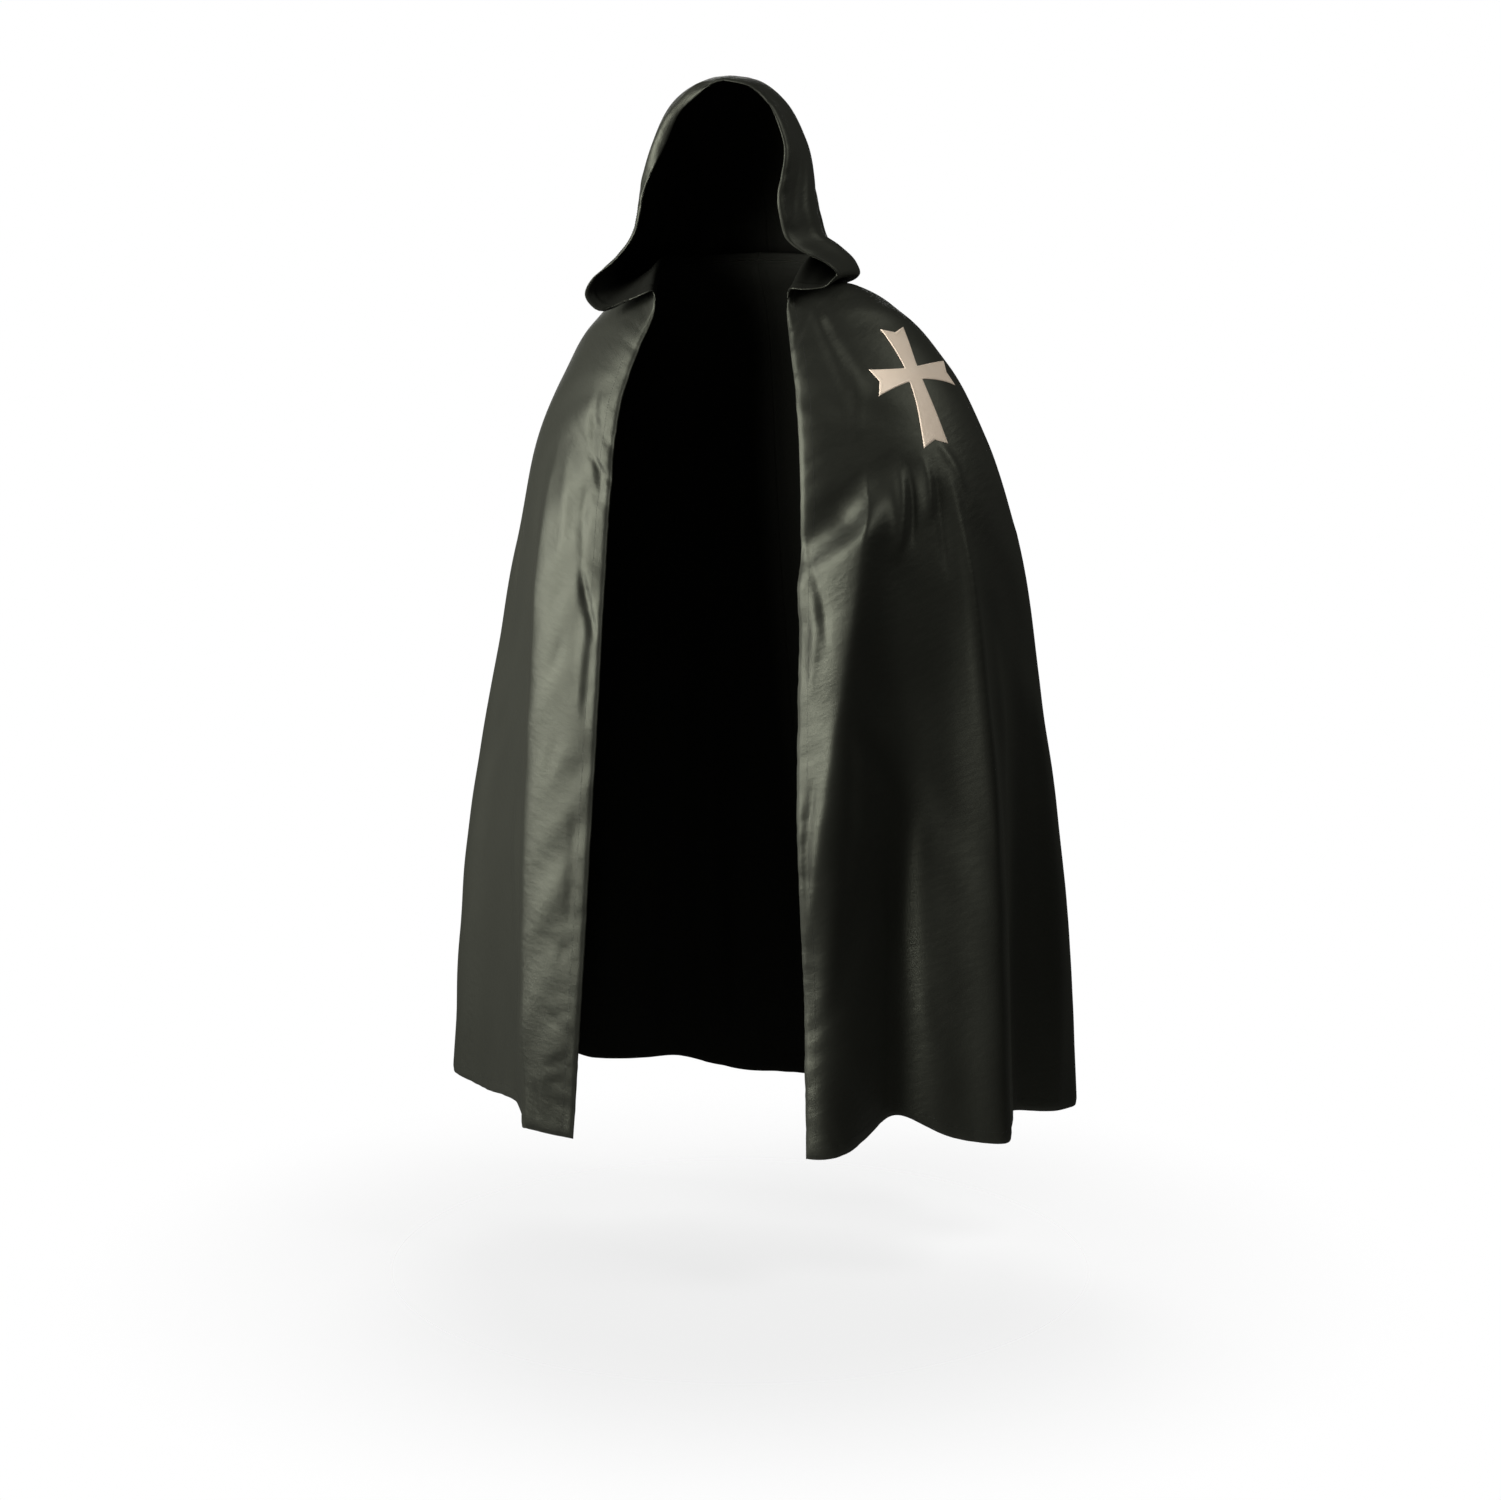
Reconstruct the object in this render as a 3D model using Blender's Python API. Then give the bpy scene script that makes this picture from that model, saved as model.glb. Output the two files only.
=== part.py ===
"""A hooded cape, worn open at the front: two cape halves, two hood halves and a cloth cross on the left arm.

Metres, +Z up, the front towards -Y and the wearer's left towards +X. The origin is the middle of the neck
seam, where the neck and shoulders carry the garment. Every piece is a cloth wall through rings: a ring
runs from the front edge round the side to the centre back, and the rings follow the cloth down from its top.
"""

from collections import namedtuple

import bmesh
import bpy
import numpy as np

# Cloth and sewing
CLOTH_WALL = 0.002
SEAM_GAP = 0.0003
HOOD_COLUMNS = 22
CAPE_COLUMNS = 2 * HOOD_COLUMNS
COLUMN_BIAS = 1.25
RING_SAMPLES = 160
SMALLEST_LENGTH = 1e-12
POINT_DIGITS = 6
CAPE_COLOUR = (0.018, 0.018, 0.016, 1.0)
CROSS_COLOUR = (0.72, 0.66, 0.58, 1.0)
CLOTH_ROUGHNESS = 0.55
CROSS_ROUGHNESS = 0.8

# Head turned a little to the left: the turn of the hood, growing between two heights
HEAD_TURN = np.radians(10.0)
TURN_STARTS = 0.08
TURN_FULL = 0.18

# Cross on the left arm: its centre as shares of the panel's rows and columns, and its sizes along the cloth
CROSS_DOWN = 0.305
CROSS_PLACE = 0.385
CROSS_WALL = 0.001
CROSS_LIFT = 0.0006
CROSS_ARMS = {"up": 0.078, "down": 0.112, "out": 0.078, "in": 0.066}
CROSS_WAIST = 0.012
CROSS_FLARE = 0.026
CROSS_NOTCH = 0.014
CROSS_STEPS_ALONG = 8
CROSS_STEPS_ACROSS = 4
CROSS_TILT = np.radians(14.0)
WALK_STEPS = 12
WALK_REACH = 0.5

# One ring of cloth: the front edge, the widest point at the side and the centre back, each with its own
# height. steps is the number of rows of cloth from this ring to the next one.
Ring = namedtuple("Ring", "steps edge_x edge_y edge_z side_x side_y side_z back_y back_z")

CAPE_LEFT = [
    Ring(1, 0.105, -0.085, -0.055, 0.115, 0.000, 0.000, 0.085, 0.010),
    Ring(2, 0.105, -0.087, -0.065, 0.117, 0.001, -0.009, 0.088, 0.000),
    Ring(2, 0.120, -0.110, -0.125, 0.182, 0.010, -0.032, 0.116, -0.045),
    Ring(2, 0.136, -0.128, -0.185, 0.250, 0.022, -0.074, 0.138, -0.105),
    Ring(2, 0.146, -0.138, -0.245, 0.318, 0.032, -0.152, 0.152, -0.180),
    Ring(2, 0.152, -0.144, -0.330, 0.374, 0.045, -0.258, 0.166, -0.280),
    Ring(2, 0.152, -0.148, -0.465, 0.420, 0.070, -0.420, 0.190, -0.430),
    Ring(3, 0.150, -0.146, -0.640, 0.436, 0.105, -0.610, 0.228, -0.615),
    Ring(3, 0.152, -0.140, -0.875, 0.446, 0.155, -0.862, 0.290, -0.870),
    Ring(3, 0.153, -0.134, -1.122, 0.450, 0.205, -1.108, 0.340, -1.118),
    Ring(0, 0.156, -0.130, -1.335, 0.452, 0.245, -1.320, 0.370, -1.340),
]

CAPE_RIGHT = [
    Ring(1, 0.105, -0.085, -0.055, 0.115, 0.000, 0.000, 0.085, 0.010),
    Ring(2, 0.105, -0.087, -0.065, 0.117, 0.001, -0.009, 0.088, 0.000),
    Ring(2, 0.122, -0.110, -0.125, 0.178, 0.010, -0.032, 0.116, -0.045),
    Ring(2, 0.138, -0.128, -0.185, 0.238, 0.025, -0.078, 0.138, -0.105),
    Ring(2, 0.148, -0.138, -0.245, 0.292, 0.030, -0.160, 0.152, -0.180),
    Ring(2, 0.154, -0.144, -0.330, 0.340, 0.035, -0.265, 0.166, -0.280),
    Ring(2, 0.162, -0.148, -0.465, 0.385, 0.045, -0.420, 0.190, -0.430),
    Ring(3, 0.172, -0.150, -0.640, 0.426, 0.060, -0.610, 0.228, -0.615),
    Ring(3, 0.188, -0.150, -0.880, 0.480, 0.095, -0.860, 0.290, -0.870),
    Ring(3, 0.205, -0.148, -1.130, 0.514, 0.130, -1.104, 0.340, -1.118),
    Ring(0, 0.224, -0.146, -1.345, 0.540, 0.160, -1.312, 0.370, -1.340),
]

HOOD_LEFT = [
    Ring(2, 0.000, -0.135, 0.262, 0.000, -0.050, 0.273, 0.030, 0.255),
    Ring(2, 0.040, -0.138, 0.250, 0.046, -0.050, 0.262, 0.082, 0.220),
    Ring(2, 0.068, -0.138, 0.222, 0.078, -0.048, 0.232, 0.105, 0.184),
    Ring(2, 0.088, -0.136, 0.172, 0.104, -0.040, 0.180, 0.116, 0.146),
    Ring(2, 0.100, -0.132, 0.125, 0.120, -0.030, 0.125, 0.121, 0.104),
    Ring(1, 0.106, -0.125, 0.065, 0.131, -0.020, 0.072, 0.124, 0.070),
    Ring(1, 0.112, -0.115, 0.032, 0.140, -0.012, 0.040, 0.127, 0.048),
    Ring(1, 0.134, -0.105, 0.012, 0.162, -0.008, 0.022, 0.135, 0.020),
    Ring(1, 0.166, -0.092, -0.004, 0.181, -0.005, 0.002, 0.142, -0.006),
    Ring(1, 0.182, -0.080, -0.022, 0.185, -0.003, -0.016, 0.140, -0.034),
    Ring(1, 0.168, -0.080, -0.036, 0.165, 0.000, -0.019, 0.124, -0.044),
    Ring(1, 0.134, -0.086, -0.042, 0.136, 0.001, -0.003, 0.102, -0.014),
    Ring(1, 0.106, -0.086, -0.044, 0.117, 0.000, 0.011, 0.088, 0.020),
    Ring(0, 0.105, -0.085, -0.055, 0.115, 0.000, 0.000, 0.085, 0.010),
]

HOOD_RIGHT = [
    Ring(2, 0.000, -0.135, 0.262, 0.000, -0.050, 0.273, 0.030, 0.255),
    Ring(2, 0.038, -0.138, 0.250, 0.050, -0.055, 0.262, 0.082, 0.220),
    Ring(2, 0.064, -0.138, 0.222, 0.092, -0.060, 0.230, 0.105, 0.184),
    Ring(2, 0.088, -0.136, 0.172, 0.120, -0.055, 0.180, 0.116, 0.146),
    Ring(2, 0.104, -0.132, 0.125, 0.128, -0.035, 0.125, 0.121, 0.104),
    Ring(1, 0.114, -0.125, 0.068, 0.134, -0.020, 0.072, 0.124, 0.070),
    Ring(1, 0.127, -0.115, 0.040, 0.146, -0.012, 0.040, 0.127, 0.048),
    Ring(1, 0.154, -0.106, 0.012, 0.166, -0.008, 0.022, 0.135, 0.020),
    Ring(1, 0.196, -0.099, -0.016, 0.185, -0.005, 0.002, 0.142, -0.006),
    Ring(1, 0.212, -0.095, -0.046, 0.189, -0.003, -0.017, 0.140, -0.034),
    Ring(1, 0.196, -0.092, -0.066, 0.167, 0.000, -0.019, 0.124, -0.044),
    Ring(1, 0.142, -0.089, -0.055, 0.136, 0.001, -0.003, 0.102, -0.014),
    Ring(1, 0.106, -0.086, -0.044, 0.117, 0.000, 0.011, 0.088, 0.020),
    Ring(0, 0.105, -0.085, -0.055, 0.115, 0.000, 0.000, 0.085, 0.010),
]

# One fold of cloth. place_top and place_hem run from 0 at the front edge to 1 at the centre back. Down the
# cloth, it starts at begins, has its depth from full to fades and is over at gone, as shares of the way (a
# trough's depth is negative). width is its half-width as a share of the ring, sharp its exponent (2 is soft),
# and lift raises the hem. front and rear stretch the half-width on each side of the fold's line, and slant
# starts the fold lower towards the front edge.
FOLD_COLUMNS = "place_top place_hem begins full fades gone depth width sharp lift front rear slant"
Fold = namedtuple("Fold", FOLD_COLUMNS, defaults=(1.0, 1.0, 0.0))

LEFT_FOLDS = [
    Fold(0.18, -0.05, 0.215, 0.30, 0.60, 0.85, 0.040, 0.050, 1.6, 0.000, 2.0, 0.8, 0.5),
    Fold(0.05, 0.03, 0.60, 1.00, 1.10, 1.50, 0.020, 0.040, 2.0, 0.000),
    Fold(0.18, 0.15, 0.36, 0.80, 1.10, 1.50, -0.060, 0.070, 2.0, 0.045),
    Fold(0.29, 0.30, 0.22, 0.70, 1.10, 1.50, 0.035, 0.034, 2.0, 0.000),
    Fold(0.38, 0.41, 0.30, 0.90, 1.10, 1.50, -0.034, 0.040, 2.0, 0.010),
    Fold(0.50, 0.52, 0.24, 0.90, 1.10, 1.50, 0.030, 0.045, 2.0, 0.000),
    Fold(0.62, 0.62, 0.26, 1.00, 1.10, 1.50, -0.032, 0.040, 2.0, 0.008),
    Fold(0.74, 0.72, 0.12, 0.80, 1.10, 1.50, 0.030, 0.045, 2.0, 0.000),
    Fold(0.90, 0.88, 0.30, 1.00, 1.10, 1.50, -0.028, 0.045, 2.0, 0.006),
]

RIGHT_FOLDS = [
    Fold(0.19, 0.075, 0.16, 0.36, 1.10, 1.50, 0.016, 0.034, 1.5, 0.010, 3.0, 0.7),
    Fold(0.27, 0.16, 0.22, 0.80, 1.10, 1.50, -0.010, 0.046, 2.0, 0.025, 1.0, 2.0),
    Fold(0.40, 0.37, 0.30, 0.90, 1.10, 1.50, 0.022, 0.050, 2.0, 0.000),
    Fold(0.49, 0.47, 0.26, 1.00, 1.10, 1.50, -0.030, 0.045, 2.0, 0.010),
    Fold(0.58, 0.56, 0.20, 0.90, 1.10, 1.50, 0.030, 0.045, 2.0, 0.000),
    Fold(0.68, 0.67, 0.30, 1.00, 1.10, 1.50, -0.030, 0.042, 2.0, 0.008),
    Fold(0.79, 0.78, 0.14, 0.85, 1.10, 1.50, 0.028, 0.045, 2.0, 0.000),
    Fold(0.92, 0.90, 0.30, 1.00, 1.10, 1.50, -0.024, 0.040, 2.0, 0.006),
]

# A stretch of cloth that hangs straight, from a line down the cloth back to the place far. It is straighter
# from begins to full, as shares of the way down, and share is how near it comes to a straight line.
Pull = namedtuple("Pull", "place_top place_hem far begins full share")

LEFT_PULLS = []
RIGHT_PULLS = [Pull(0.20, 0.085, 0.40, 0.20, 0.42, 0.9)]

HOOD_FOLDS = [
    Fold(0.30, 0.22, 0.30, 0.50, 0.60, 0.80, 0.006, 0.070, 2.0, 0.0),
    Fold(0.50, 0.45, 0.25, 0.50, 0.60, 0.80, -0.008, 0.080, 2.0, 0.0),
    Fold(0.72, 0.66, 0.20, 0.50, 0.60, 0.80, 0.007, 0.080, 2.0, 0.0),
]


def rows_of_rings(table):
    """Every row of cloth, on a smooth curve through the rings of a table."""
    columns = np.array([ring[1:] for ring in table])
    steps = np.diff(columns, axis=0)
    edge_run = np.linalg.norm(steps[:, 0:3], axis=1)
    side_run = np.linalg.norm(steps[:, 3:6], axis=1)
    back_run = np.linalg.norm(steps[:, 6:8], axis=1)
    run = np.concatenate([[0.0], np.cumsum((edge_run + side_run + back_run) / 3)])
    slopes = np.gradient(columns, run, axis=0)
    rows = []
    for index, ring in enumerate(table[:-1]):
        length = run[index + 1] - run[index]
        for step in range(ring.steps):
            share = step / ring.steps
            start = (1 + 2 * share) * (1 - share) ** 2
            leave = share * (1 - share) ** 2 * length
            end = share**2 * (3 - 2 * share)
            arrive = share**2 * (share - 1) * length
            rows.append(
                (
                    run[index] + share * length,
                    start * columns[index] + leave * slopes[index]
                    + end * columns[index + 1] + arrive * slopes[index + 1],
                )
            )
    rows.append((run[-1], columns[-1]))
    down = np.array([row[0] for row in rows]) / run[-1]
    return down, np.array([row[1] for row in rows])


def half_ring(row, places):
    """One row of cloth from the front edge to the centre back, at even places along its length."""
    edge_x, edge_y, edge_z, side_x, side_y, side_z, back_y, back_z = row
    turn = np.linspace(0.0, np.pi / 2, RING_SAMPLES)
    front = np.stack(
        [
            edge_x + (side_x - edge_x) * np.sin(turn),
            side_y + (edge_y - side_y) * np.cos(turn),
            edge_z * np.cos(turn) ** 2 + side_z * np.sin(turn) ** 2,
        ],
        axis=1,
    )
    rear = np.stack(
        [
            side_x * np.cos(turn),
            side_y + (back_y - side_y) * np.sin(turn),
            side_z * np.cos(turn) ** 2 + back_z * np.sin(turn) ** 2,
        ],
        axis=1,
    )
    line = np.concatenate([front, rear[1:]])
    length = np.concatenate([[0.0], np.cumsum(np.linalg.norm(np.diff(line, axis=0), axis=1))])
    wanted = places * length[-1]
    return np.stack([np.interp(wanted, length, line[:, axis]) for axis in range(3)], axis=1)


def outward_normals(grid):
    """Unit normals of a grid of cloth, pointing away from the wearer."""
    across = np.gradient(grid, axis=1)
    below = np.gradient(grid, axis=0)
    normals = np.cross(below, across)
    return normals / np.maximum(np.linalg.norm(normals, axis=2, keepdims=True), SMALLEST_LENGTH)


def smooth_step(values, start, end):
    """0 up to start, 1 from end on, with a soft slope between."""
    share = np.clip((values - start) / (end - start), 0.0, 1.0)
    return share**2 * (3 - 2 * share)


def fold_offsets(folds, down, places):
    """How far the folds push the cloth out, and how far they lift its hem, over the whole grid."""
    offset = np.zeros((len(down), len(places)))
    lift = np.zeros_like(offset)
    for fold in folds:
        away = places[None, :] - fold.place_top - (fold.place_hem - fold.place_top) * down[:, None]
        growth = smooth_step(down[:, None] + fold.slant * np.minimum(away, 0.0), fold.begins, fold.full)
        growth = growth * (1 - smooth_step(down, fold.fades, fold.gone)[:, None])
        width = fold.width * np.where(away < 0, fold.front, fold.rear)
        bump = growth * np.exp(-np.abs(away / width) ** fold.sharp)
        offset += fold.depth * bump
        lift += fold.lift * bump * down[:, None] ** 2
    return offset, lift


def pull_straight(grid, pulls, down, places):
    """Move stretches of the grid, row by row, towards straight lines between their ends."""
    for pull in pulls:
        for row, share_down in enumerate(down):
            near = pull.place_top + (pull.place_hem - pull.place_top) * share_down
            share = pull.share * smooth_step(share_down, pull.begins, pull.full)
            between = (places > near) & (places < pull.far)
            along = ((places[between] - near) / (pull.far - near))[:, None]
            start = np.array([np.interp(near, places, grid[row, :, axis]) for axis in range(3)])
            end = np.array([np.interp(pull.far, places, grid[row, :, axis]) for axis in range(3)])
            straight = start + (end - start) * along
            grid[row, between] = grid[row, between] * (1 - share) + straight * share


def cloth_grid(table, folds, pulls, column_count):
    """Outer points of one half on the left side, row by row down the cloth."""
    down, rows = rows_of_rings(table)
    places = np.linspace(0.0, 1.0, column_count + 1) ** COLUMN_BIAS
    grid = np.stack([half_ring(row, places) for row in rows])
    pull_straight(grid, pulls, down, places)
    offset, lift = fold_offsets(folds, down, places)
    grid = grid + outward_normals(grid) * offset[..., None]
    grid[..., 2] += lift
    return grid


def match_neck_seam(cape, hood):
    """Lay the cape's neck edge along the hood's, which has a point for every second one of the cape's."""
    before = hood[-1, :-1]
    after = hood[-1, 1:]
    share = np.linalg.norm(cape[0, 1::2] - before, axis=1) / np.linalg.norm(after - before, axis=1)
    cape[0, 0::2] = hood[-1]
    cape[0, 1::2] = before + (after - before) * share[:, None]


def wall_points(grid):
    """Outer and inner points of a cloth wall, with its centre seam half a seam gap from the middle."""
    inner = grid - outward_normals(grid) * CLOTH_WALL
    outer = grid.copy()
    for skin in (outer, inner):
        skin[:, -1, 0] = SEAM_GAP / 2
    return outer, inner


def grid_faces(row_count, column_count):
    """Corner numbers of the triangles of a grid, two for each of its cells."""
    faces = []
    for row in range(row_count - 1):
        for column in range(column_count - 1):
            here = row * column_count + column
            opposite = here + column_count + 1
            faces.append((here, here + column_count, opposite))
            faces.append((here, opposite, here + 1))
    return faces


def cloth_solid(name, outer, inner, faces, material):
    """A closed wall between two skins that share their faces, with a rim round every open edge."""
    mesh = bmesh.new()
    top = [mesh.verts.new(point) for point in outer]
    bottom = [mesh.verts.new(point) for point in inner]
    beneath = dict(zip(top, bottom))
    for face in faces:
        mesh.faces.new([top[corner] for corner in face])
    for edge in [edge for edge in mesh.edges if edge.is_boundary]:
        first, second = edge.verts
        mesh.faces.new((first, second, beneath[second], beneath[first]))
    for face in faces:
        mesh.faces.new([bottom[corner] for corner in reversed(face)])
    bmesh.ops.recalc_face_normals(mesh, faces=mesh.faces)
    data = bpy.data.meshes.new(name)
    mesh.to_mesh(data)
    mesh.free()
    data.shade_smooth()
    data.materials.append(material)
    piece = bpy.data.objects.new(name, data)
    bpy.context.scene.collection.objects.link(piece)
    return piece


def turn_with_head(skin, side):
    """The points of a hood half after the head has turned, given and returned on the left side."""
    angle = side * HEAD_TURN * smooth_step(skin[..., 2], TURN_STARTS, TURN_FULL)
    turned = skin.copy()
    turned[..., 0] = skin[..., 0] * np.cos(angle) - skin[..., 1] * np.sin(angle)
    turned[..., 1] = skin[..., 0] * np.sin(angle) + skin[..., 1] * np.cos(angle)
    return turned


def cloth_half(name, skins, side, material):
    """One half of the cape or hood, on the left (side 1) or mirrored to the right (side -1)."""
    mirror = np.array([side, 1.0, 1.0])
    outer, inner = (skin.reshape(-1, 3) * mirror for skin in skins)
    return cloth_solid(name, outer, inner, grid_faces(*skins[0].shape[:2]), material)


def cloth_material(name, colour, roughness):
    """A plain cloth finish."""
    material = bpy.data.materials.new(name)
    material.use_nodes = True
    shader = material.node_tree.nodes["Principled BSDF"]
    shader.inputs["Base Color"].default_value = colour
    shader.inputs["Roughness"].default_value = roughness
    shader.inputs["Metallic"].default_value = 0.0
    material.diffuse_color = colour
    return material


def on_panel(grid, row, column):
    """The point of a panel at a fractional row and column, on the triangle that it falls in."""
    top = min(max(int(row), 0), grid.shape[0] - 2)
    left = min(max(int(column), 0), grid.shape[1] - 2)
    below = row - top
    beside = column - left
    corner = grid[top, left]
    opposite = grid[top + 1, left + 1]
    if beside <= below:
        return corner + below * (grid[top + 1, left] - corner) + beside * (opposite - grid[top + 1, left])
    return corner + beside * (grid[top, left + 1] - corner) + below * (opposite - grid[top, left + 1])


def walk_on_panel(grid, across, down):
    """Row and column reached from the cross's centre by going straight on over the cloth."""
    row = CROSS_DOWN * (grid.shape[0] - 1)
    column = CROSS_PLACE * (grid.shape[1] - 1)
    length = np.hypot(across, down)
    heading = None
    for _ in range(WALK_STEPS if length > 0 else 0):
        along_row = on_panel(grid, row, column + WALK_REACH) - on_panel(grid, row, column - WALK_REACH)
        along_column = on_panel(grid, row + WALK_REACH, column) - on_panel(grid, row - WALK_REACH, column)
        normal = np.cross(along_column, along_row)
        normal = normal / np.linalg.norm(normal)
        if heading is None:
            downward = along_column / np.linalg.norm(along_column)
            sideways = np.cross(normal, downward)
            heading = across * (sideways * np.cos(CROSS_TILT) + downward * np.sin(CROSS_TILT))
            heading = heading + down * (downward * np.cos(CROSS_TILT) - sideways * np.sin(CROSS_TILT))
        heading = heading - normal * (heading @ normal)
        step = heading / np.linalg.norm(heading) * length / WALK_STEPS
        moves = np.stack([along_row, along_column], axis=1) / (2 * WALK_REACH)
        column_move, row_move = np.linalg.lstsq(moves, step, rcond=None)[0]
        row += row_move
        column += column_move
    return row, column


def cross_outline_grid():
    """Flat points (across, down) and faces of the cross: a square middle and four flared, notched arms."""
    points = []
    faces = []
    places = {}

    def number_of(across, down):
        key = (round(across, POINT_DIGITS), round(down, POINT_DIGITS))
        if key not in places:
            places[key] = len(points)
            points.append((across, down))
        return places[key]

    shares = np.linspace(-1.0, 1.0, CROSS_STEPS_ACROSS + 1)
    middle = [[number_of(CROSS_WAIST * a, CROSS_WAIST * d) for a in shares] for d in shares]
    blocks = [middle]
    turns = {"up": (0, -1), "down": (0, 1), "out": (1, 0), "in": (-1, 0)}
    for arm, length in CROSS_ARMS.items():
        ahead_across, ahead_down = turns[arm]
        block = []
        for step in range(CROSS_STEPS_ALONG + 1):
            share = step / CROSS_STEPS_ALONG
            half_width = CROSS_WAIST + (CROSS_FLARE - CROSS_WAIST) * share**2
            line = []
            for beside in shares:
                reach = length - CROSS_WAIST - CROSS_NOTCH * (1 - abs(beside))
                ahead = CROSS_WAIST + share * reach
                line.append(
                    number_of(
                        ahead * ahead_across - half_width * beside * ahead_down,
                        ahead * ahead_down + half_width * beside * ahead_across,
                    )
                )
            block.append(line)
        blocks.append(block)
    for block in blocks:
        for upper, lower in zip(block[:-1], block[1:]):
            for beside in range(CROSS_STEPS_ACROSS):
                faces.append((upper[beside], lower[beside], lower[beside + 1], upper[beside + 1]))
    return points, faces


def cloth_cross(panel, material):
    """The cross laid on the panel: its points are the panel's own, moved out."""
    flat, faces = cross_outline_grid()
    normals = outward_normals(panel)
    inner = []
    outer = []
    for across, down in flat:
        row, column = walk_on_panel(panel, across, down)
        point = on_panel(panel, row, column)
        normal = on_panel(normals, row, column)
        inner.append(point + normal * CROSS_LIFT)
        outer.append(point + normal * (CROSS_LIFT + CROSS_WALL))
    return cloth_solid("shoulder_cross", outer, inner, faces, material)


for leftover in list(bpy.data.objects):
    bpy.data.objects.remove(leftover)

cape_cloth = cloth_material("cape_cloth", CAPE_COLOUR, CLOTH_ROUGHNESS)
hood_cloth = cloth_material("hood_cloth", CAPE_COLOUR, CLOTH_ROUGHNESS)
cross_cloth = cloth_material("cross_cloth", CROSS_COLOUR, CROSS_ROUGHNESS)

for name, side, cape_table, cape_folds, cape_pulls, hood_table in (
    ("right", -1, CAPE_RIGHT, RIGHT_FOLDS, RIGHT_PULLS, HOOD_RIGHT),
    ("left", 1, CAPE_LEFT, LEFT_FOLDS, LEFT_PULLS, HOOD_LEFT),
):
    hood = cloth_grid(hood_table, HOOD_FOLDS, [], HOOD_COLUMNS)
    cape = cloth_grid(cape_table, cape_folds, cape_pulls, CAPE_COLUMNS)
    match_neck_seam(cape, hood)
    cape_skins = wall_points(cape)
    hood_skins = wall_points(hood)
    for skin in hood_skins:
        skin[0, :, 0] = SEAM_GAP / 2
        skin[-1, :, 2] = hood[-1, :, 2] + SEAM_GAP
    cloth_half("cape_" + name, cape_skins, side, cape_cloth)
    cloth_half("hood_" + name, [turn_with_head(skin, side) for skin in hood_skins], side, hood_cloth)

left_panel = cape_skins[0]
cloth_cross(left_panel, cross_cloth)
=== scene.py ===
"""Hooded cape: two cape halves, two hood halves and a cloth cross on the left half, with hems and thread.

Metres, +Z up, the front towards -Y and the cape's own left towards +X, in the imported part's own frame.
"""

from collections import namedtuple

import bpy
import numpy as np
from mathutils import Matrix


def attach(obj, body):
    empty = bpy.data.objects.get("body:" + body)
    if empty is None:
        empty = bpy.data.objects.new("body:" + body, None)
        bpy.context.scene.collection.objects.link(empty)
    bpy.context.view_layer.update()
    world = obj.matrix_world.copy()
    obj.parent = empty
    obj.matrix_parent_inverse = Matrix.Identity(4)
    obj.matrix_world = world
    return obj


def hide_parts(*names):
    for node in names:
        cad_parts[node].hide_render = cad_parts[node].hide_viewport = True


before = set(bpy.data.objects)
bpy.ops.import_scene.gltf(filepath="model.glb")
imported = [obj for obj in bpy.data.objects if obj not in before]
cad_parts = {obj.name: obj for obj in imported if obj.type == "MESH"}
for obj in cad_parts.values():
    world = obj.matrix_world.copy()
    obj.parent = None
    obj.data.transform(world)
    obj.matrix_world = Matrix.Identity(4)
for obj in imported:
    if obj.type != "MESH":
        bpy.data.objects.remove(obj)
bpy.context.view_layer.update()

# Cape halves: black cotton twill with a soft sheen. Each half is cut as one sector of cloth, from the front
# edge round to the centre back, and turned in and sewn along its front edge and hem. The halves hang from the
# neck seam, and each has its own long folds.
CLOTH = 0.0011
HEM_EXTRA = 0.0009
HEM_WIDTH = 0.022
ALLOWANCE = 0.012
DOUBLED_SHARE = 0.86
SEAM_DIP = 0.0009
SEAM_HALF_WIDTH = 0.004
EDGE_ROLL = 0.0016
EDGE_ROLL_WIDTH = 0.0040
CAPE_ROWS_FINER = 8
CAPE_COLUMNS = 220
COLUMN_BIAS = 1.25
RING_SAMPLES = 400
# Small creases begin at HELD from a seam and are full at FREE.
NECK_HELD = 0.01
NECK_FREE = 0.07
BACK_FREE = 0.02
CAPE_UNEVEN = 0.0008
FRONT_WEAR = 0.006
HEM_WEAR = 0.008
STITCH_FROM_FOLD = 0.003

# A ring of cloth: where its front edge, side and centre back lie, and the steps of rows down to the next.
Ring = namedtuple("Ring", "steps edge_x edge_y edge_z side_x side_y side_z back_y back_z")

CAPE_LEFT = [
    Ring(1, 0.105, -0.085, -0.055, 0.115, 0.000, 0.000, 0.085, 0.010),
    Ring(2, 0.105, -0.087, -0.065, 0.117, 0.001, -0.009, 0.088, 0.000),
    Ring(2, 0.120, -0.110, -0.125, 0.182, 0.010, -0.032, 0.116, -0.045),
    Ring(2, 0.136, -0.128, -0.185, 0.250, 0.022, -0.074, 0.138, -0.105),
    Ring(2, 0.146, -0.138, -0.245, 0.318, 0.032, -0.152, 0.152, -0.180),
    Ring(2, 0.152, -0.144, -0.330, 0.374, 0.045, -0.258, 0.166, -0.280),
    Ring(2, 0.152, -0.148, -0.465, 0.420, 0.070, -0.420, 0.190, -0.430),
    Ring(3, 0.150, -0.146, -0.640, 0.436, 0.105, -0.610, 0.228, -0.615),
    Ring(3, 0.152, -0.140, -0.875, 0.446, 0.155, -0.862, 0.290, -0.870),
    Ring(3, 0.153, -0.134, -1.122, 0.450, 0.205, -1.108, 0.340, -1.118),
    Ring(0, 0.156, -0.130, -1.335, 0.452, 0.245, -1.320, 0.370, -1.340),
]

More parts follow.
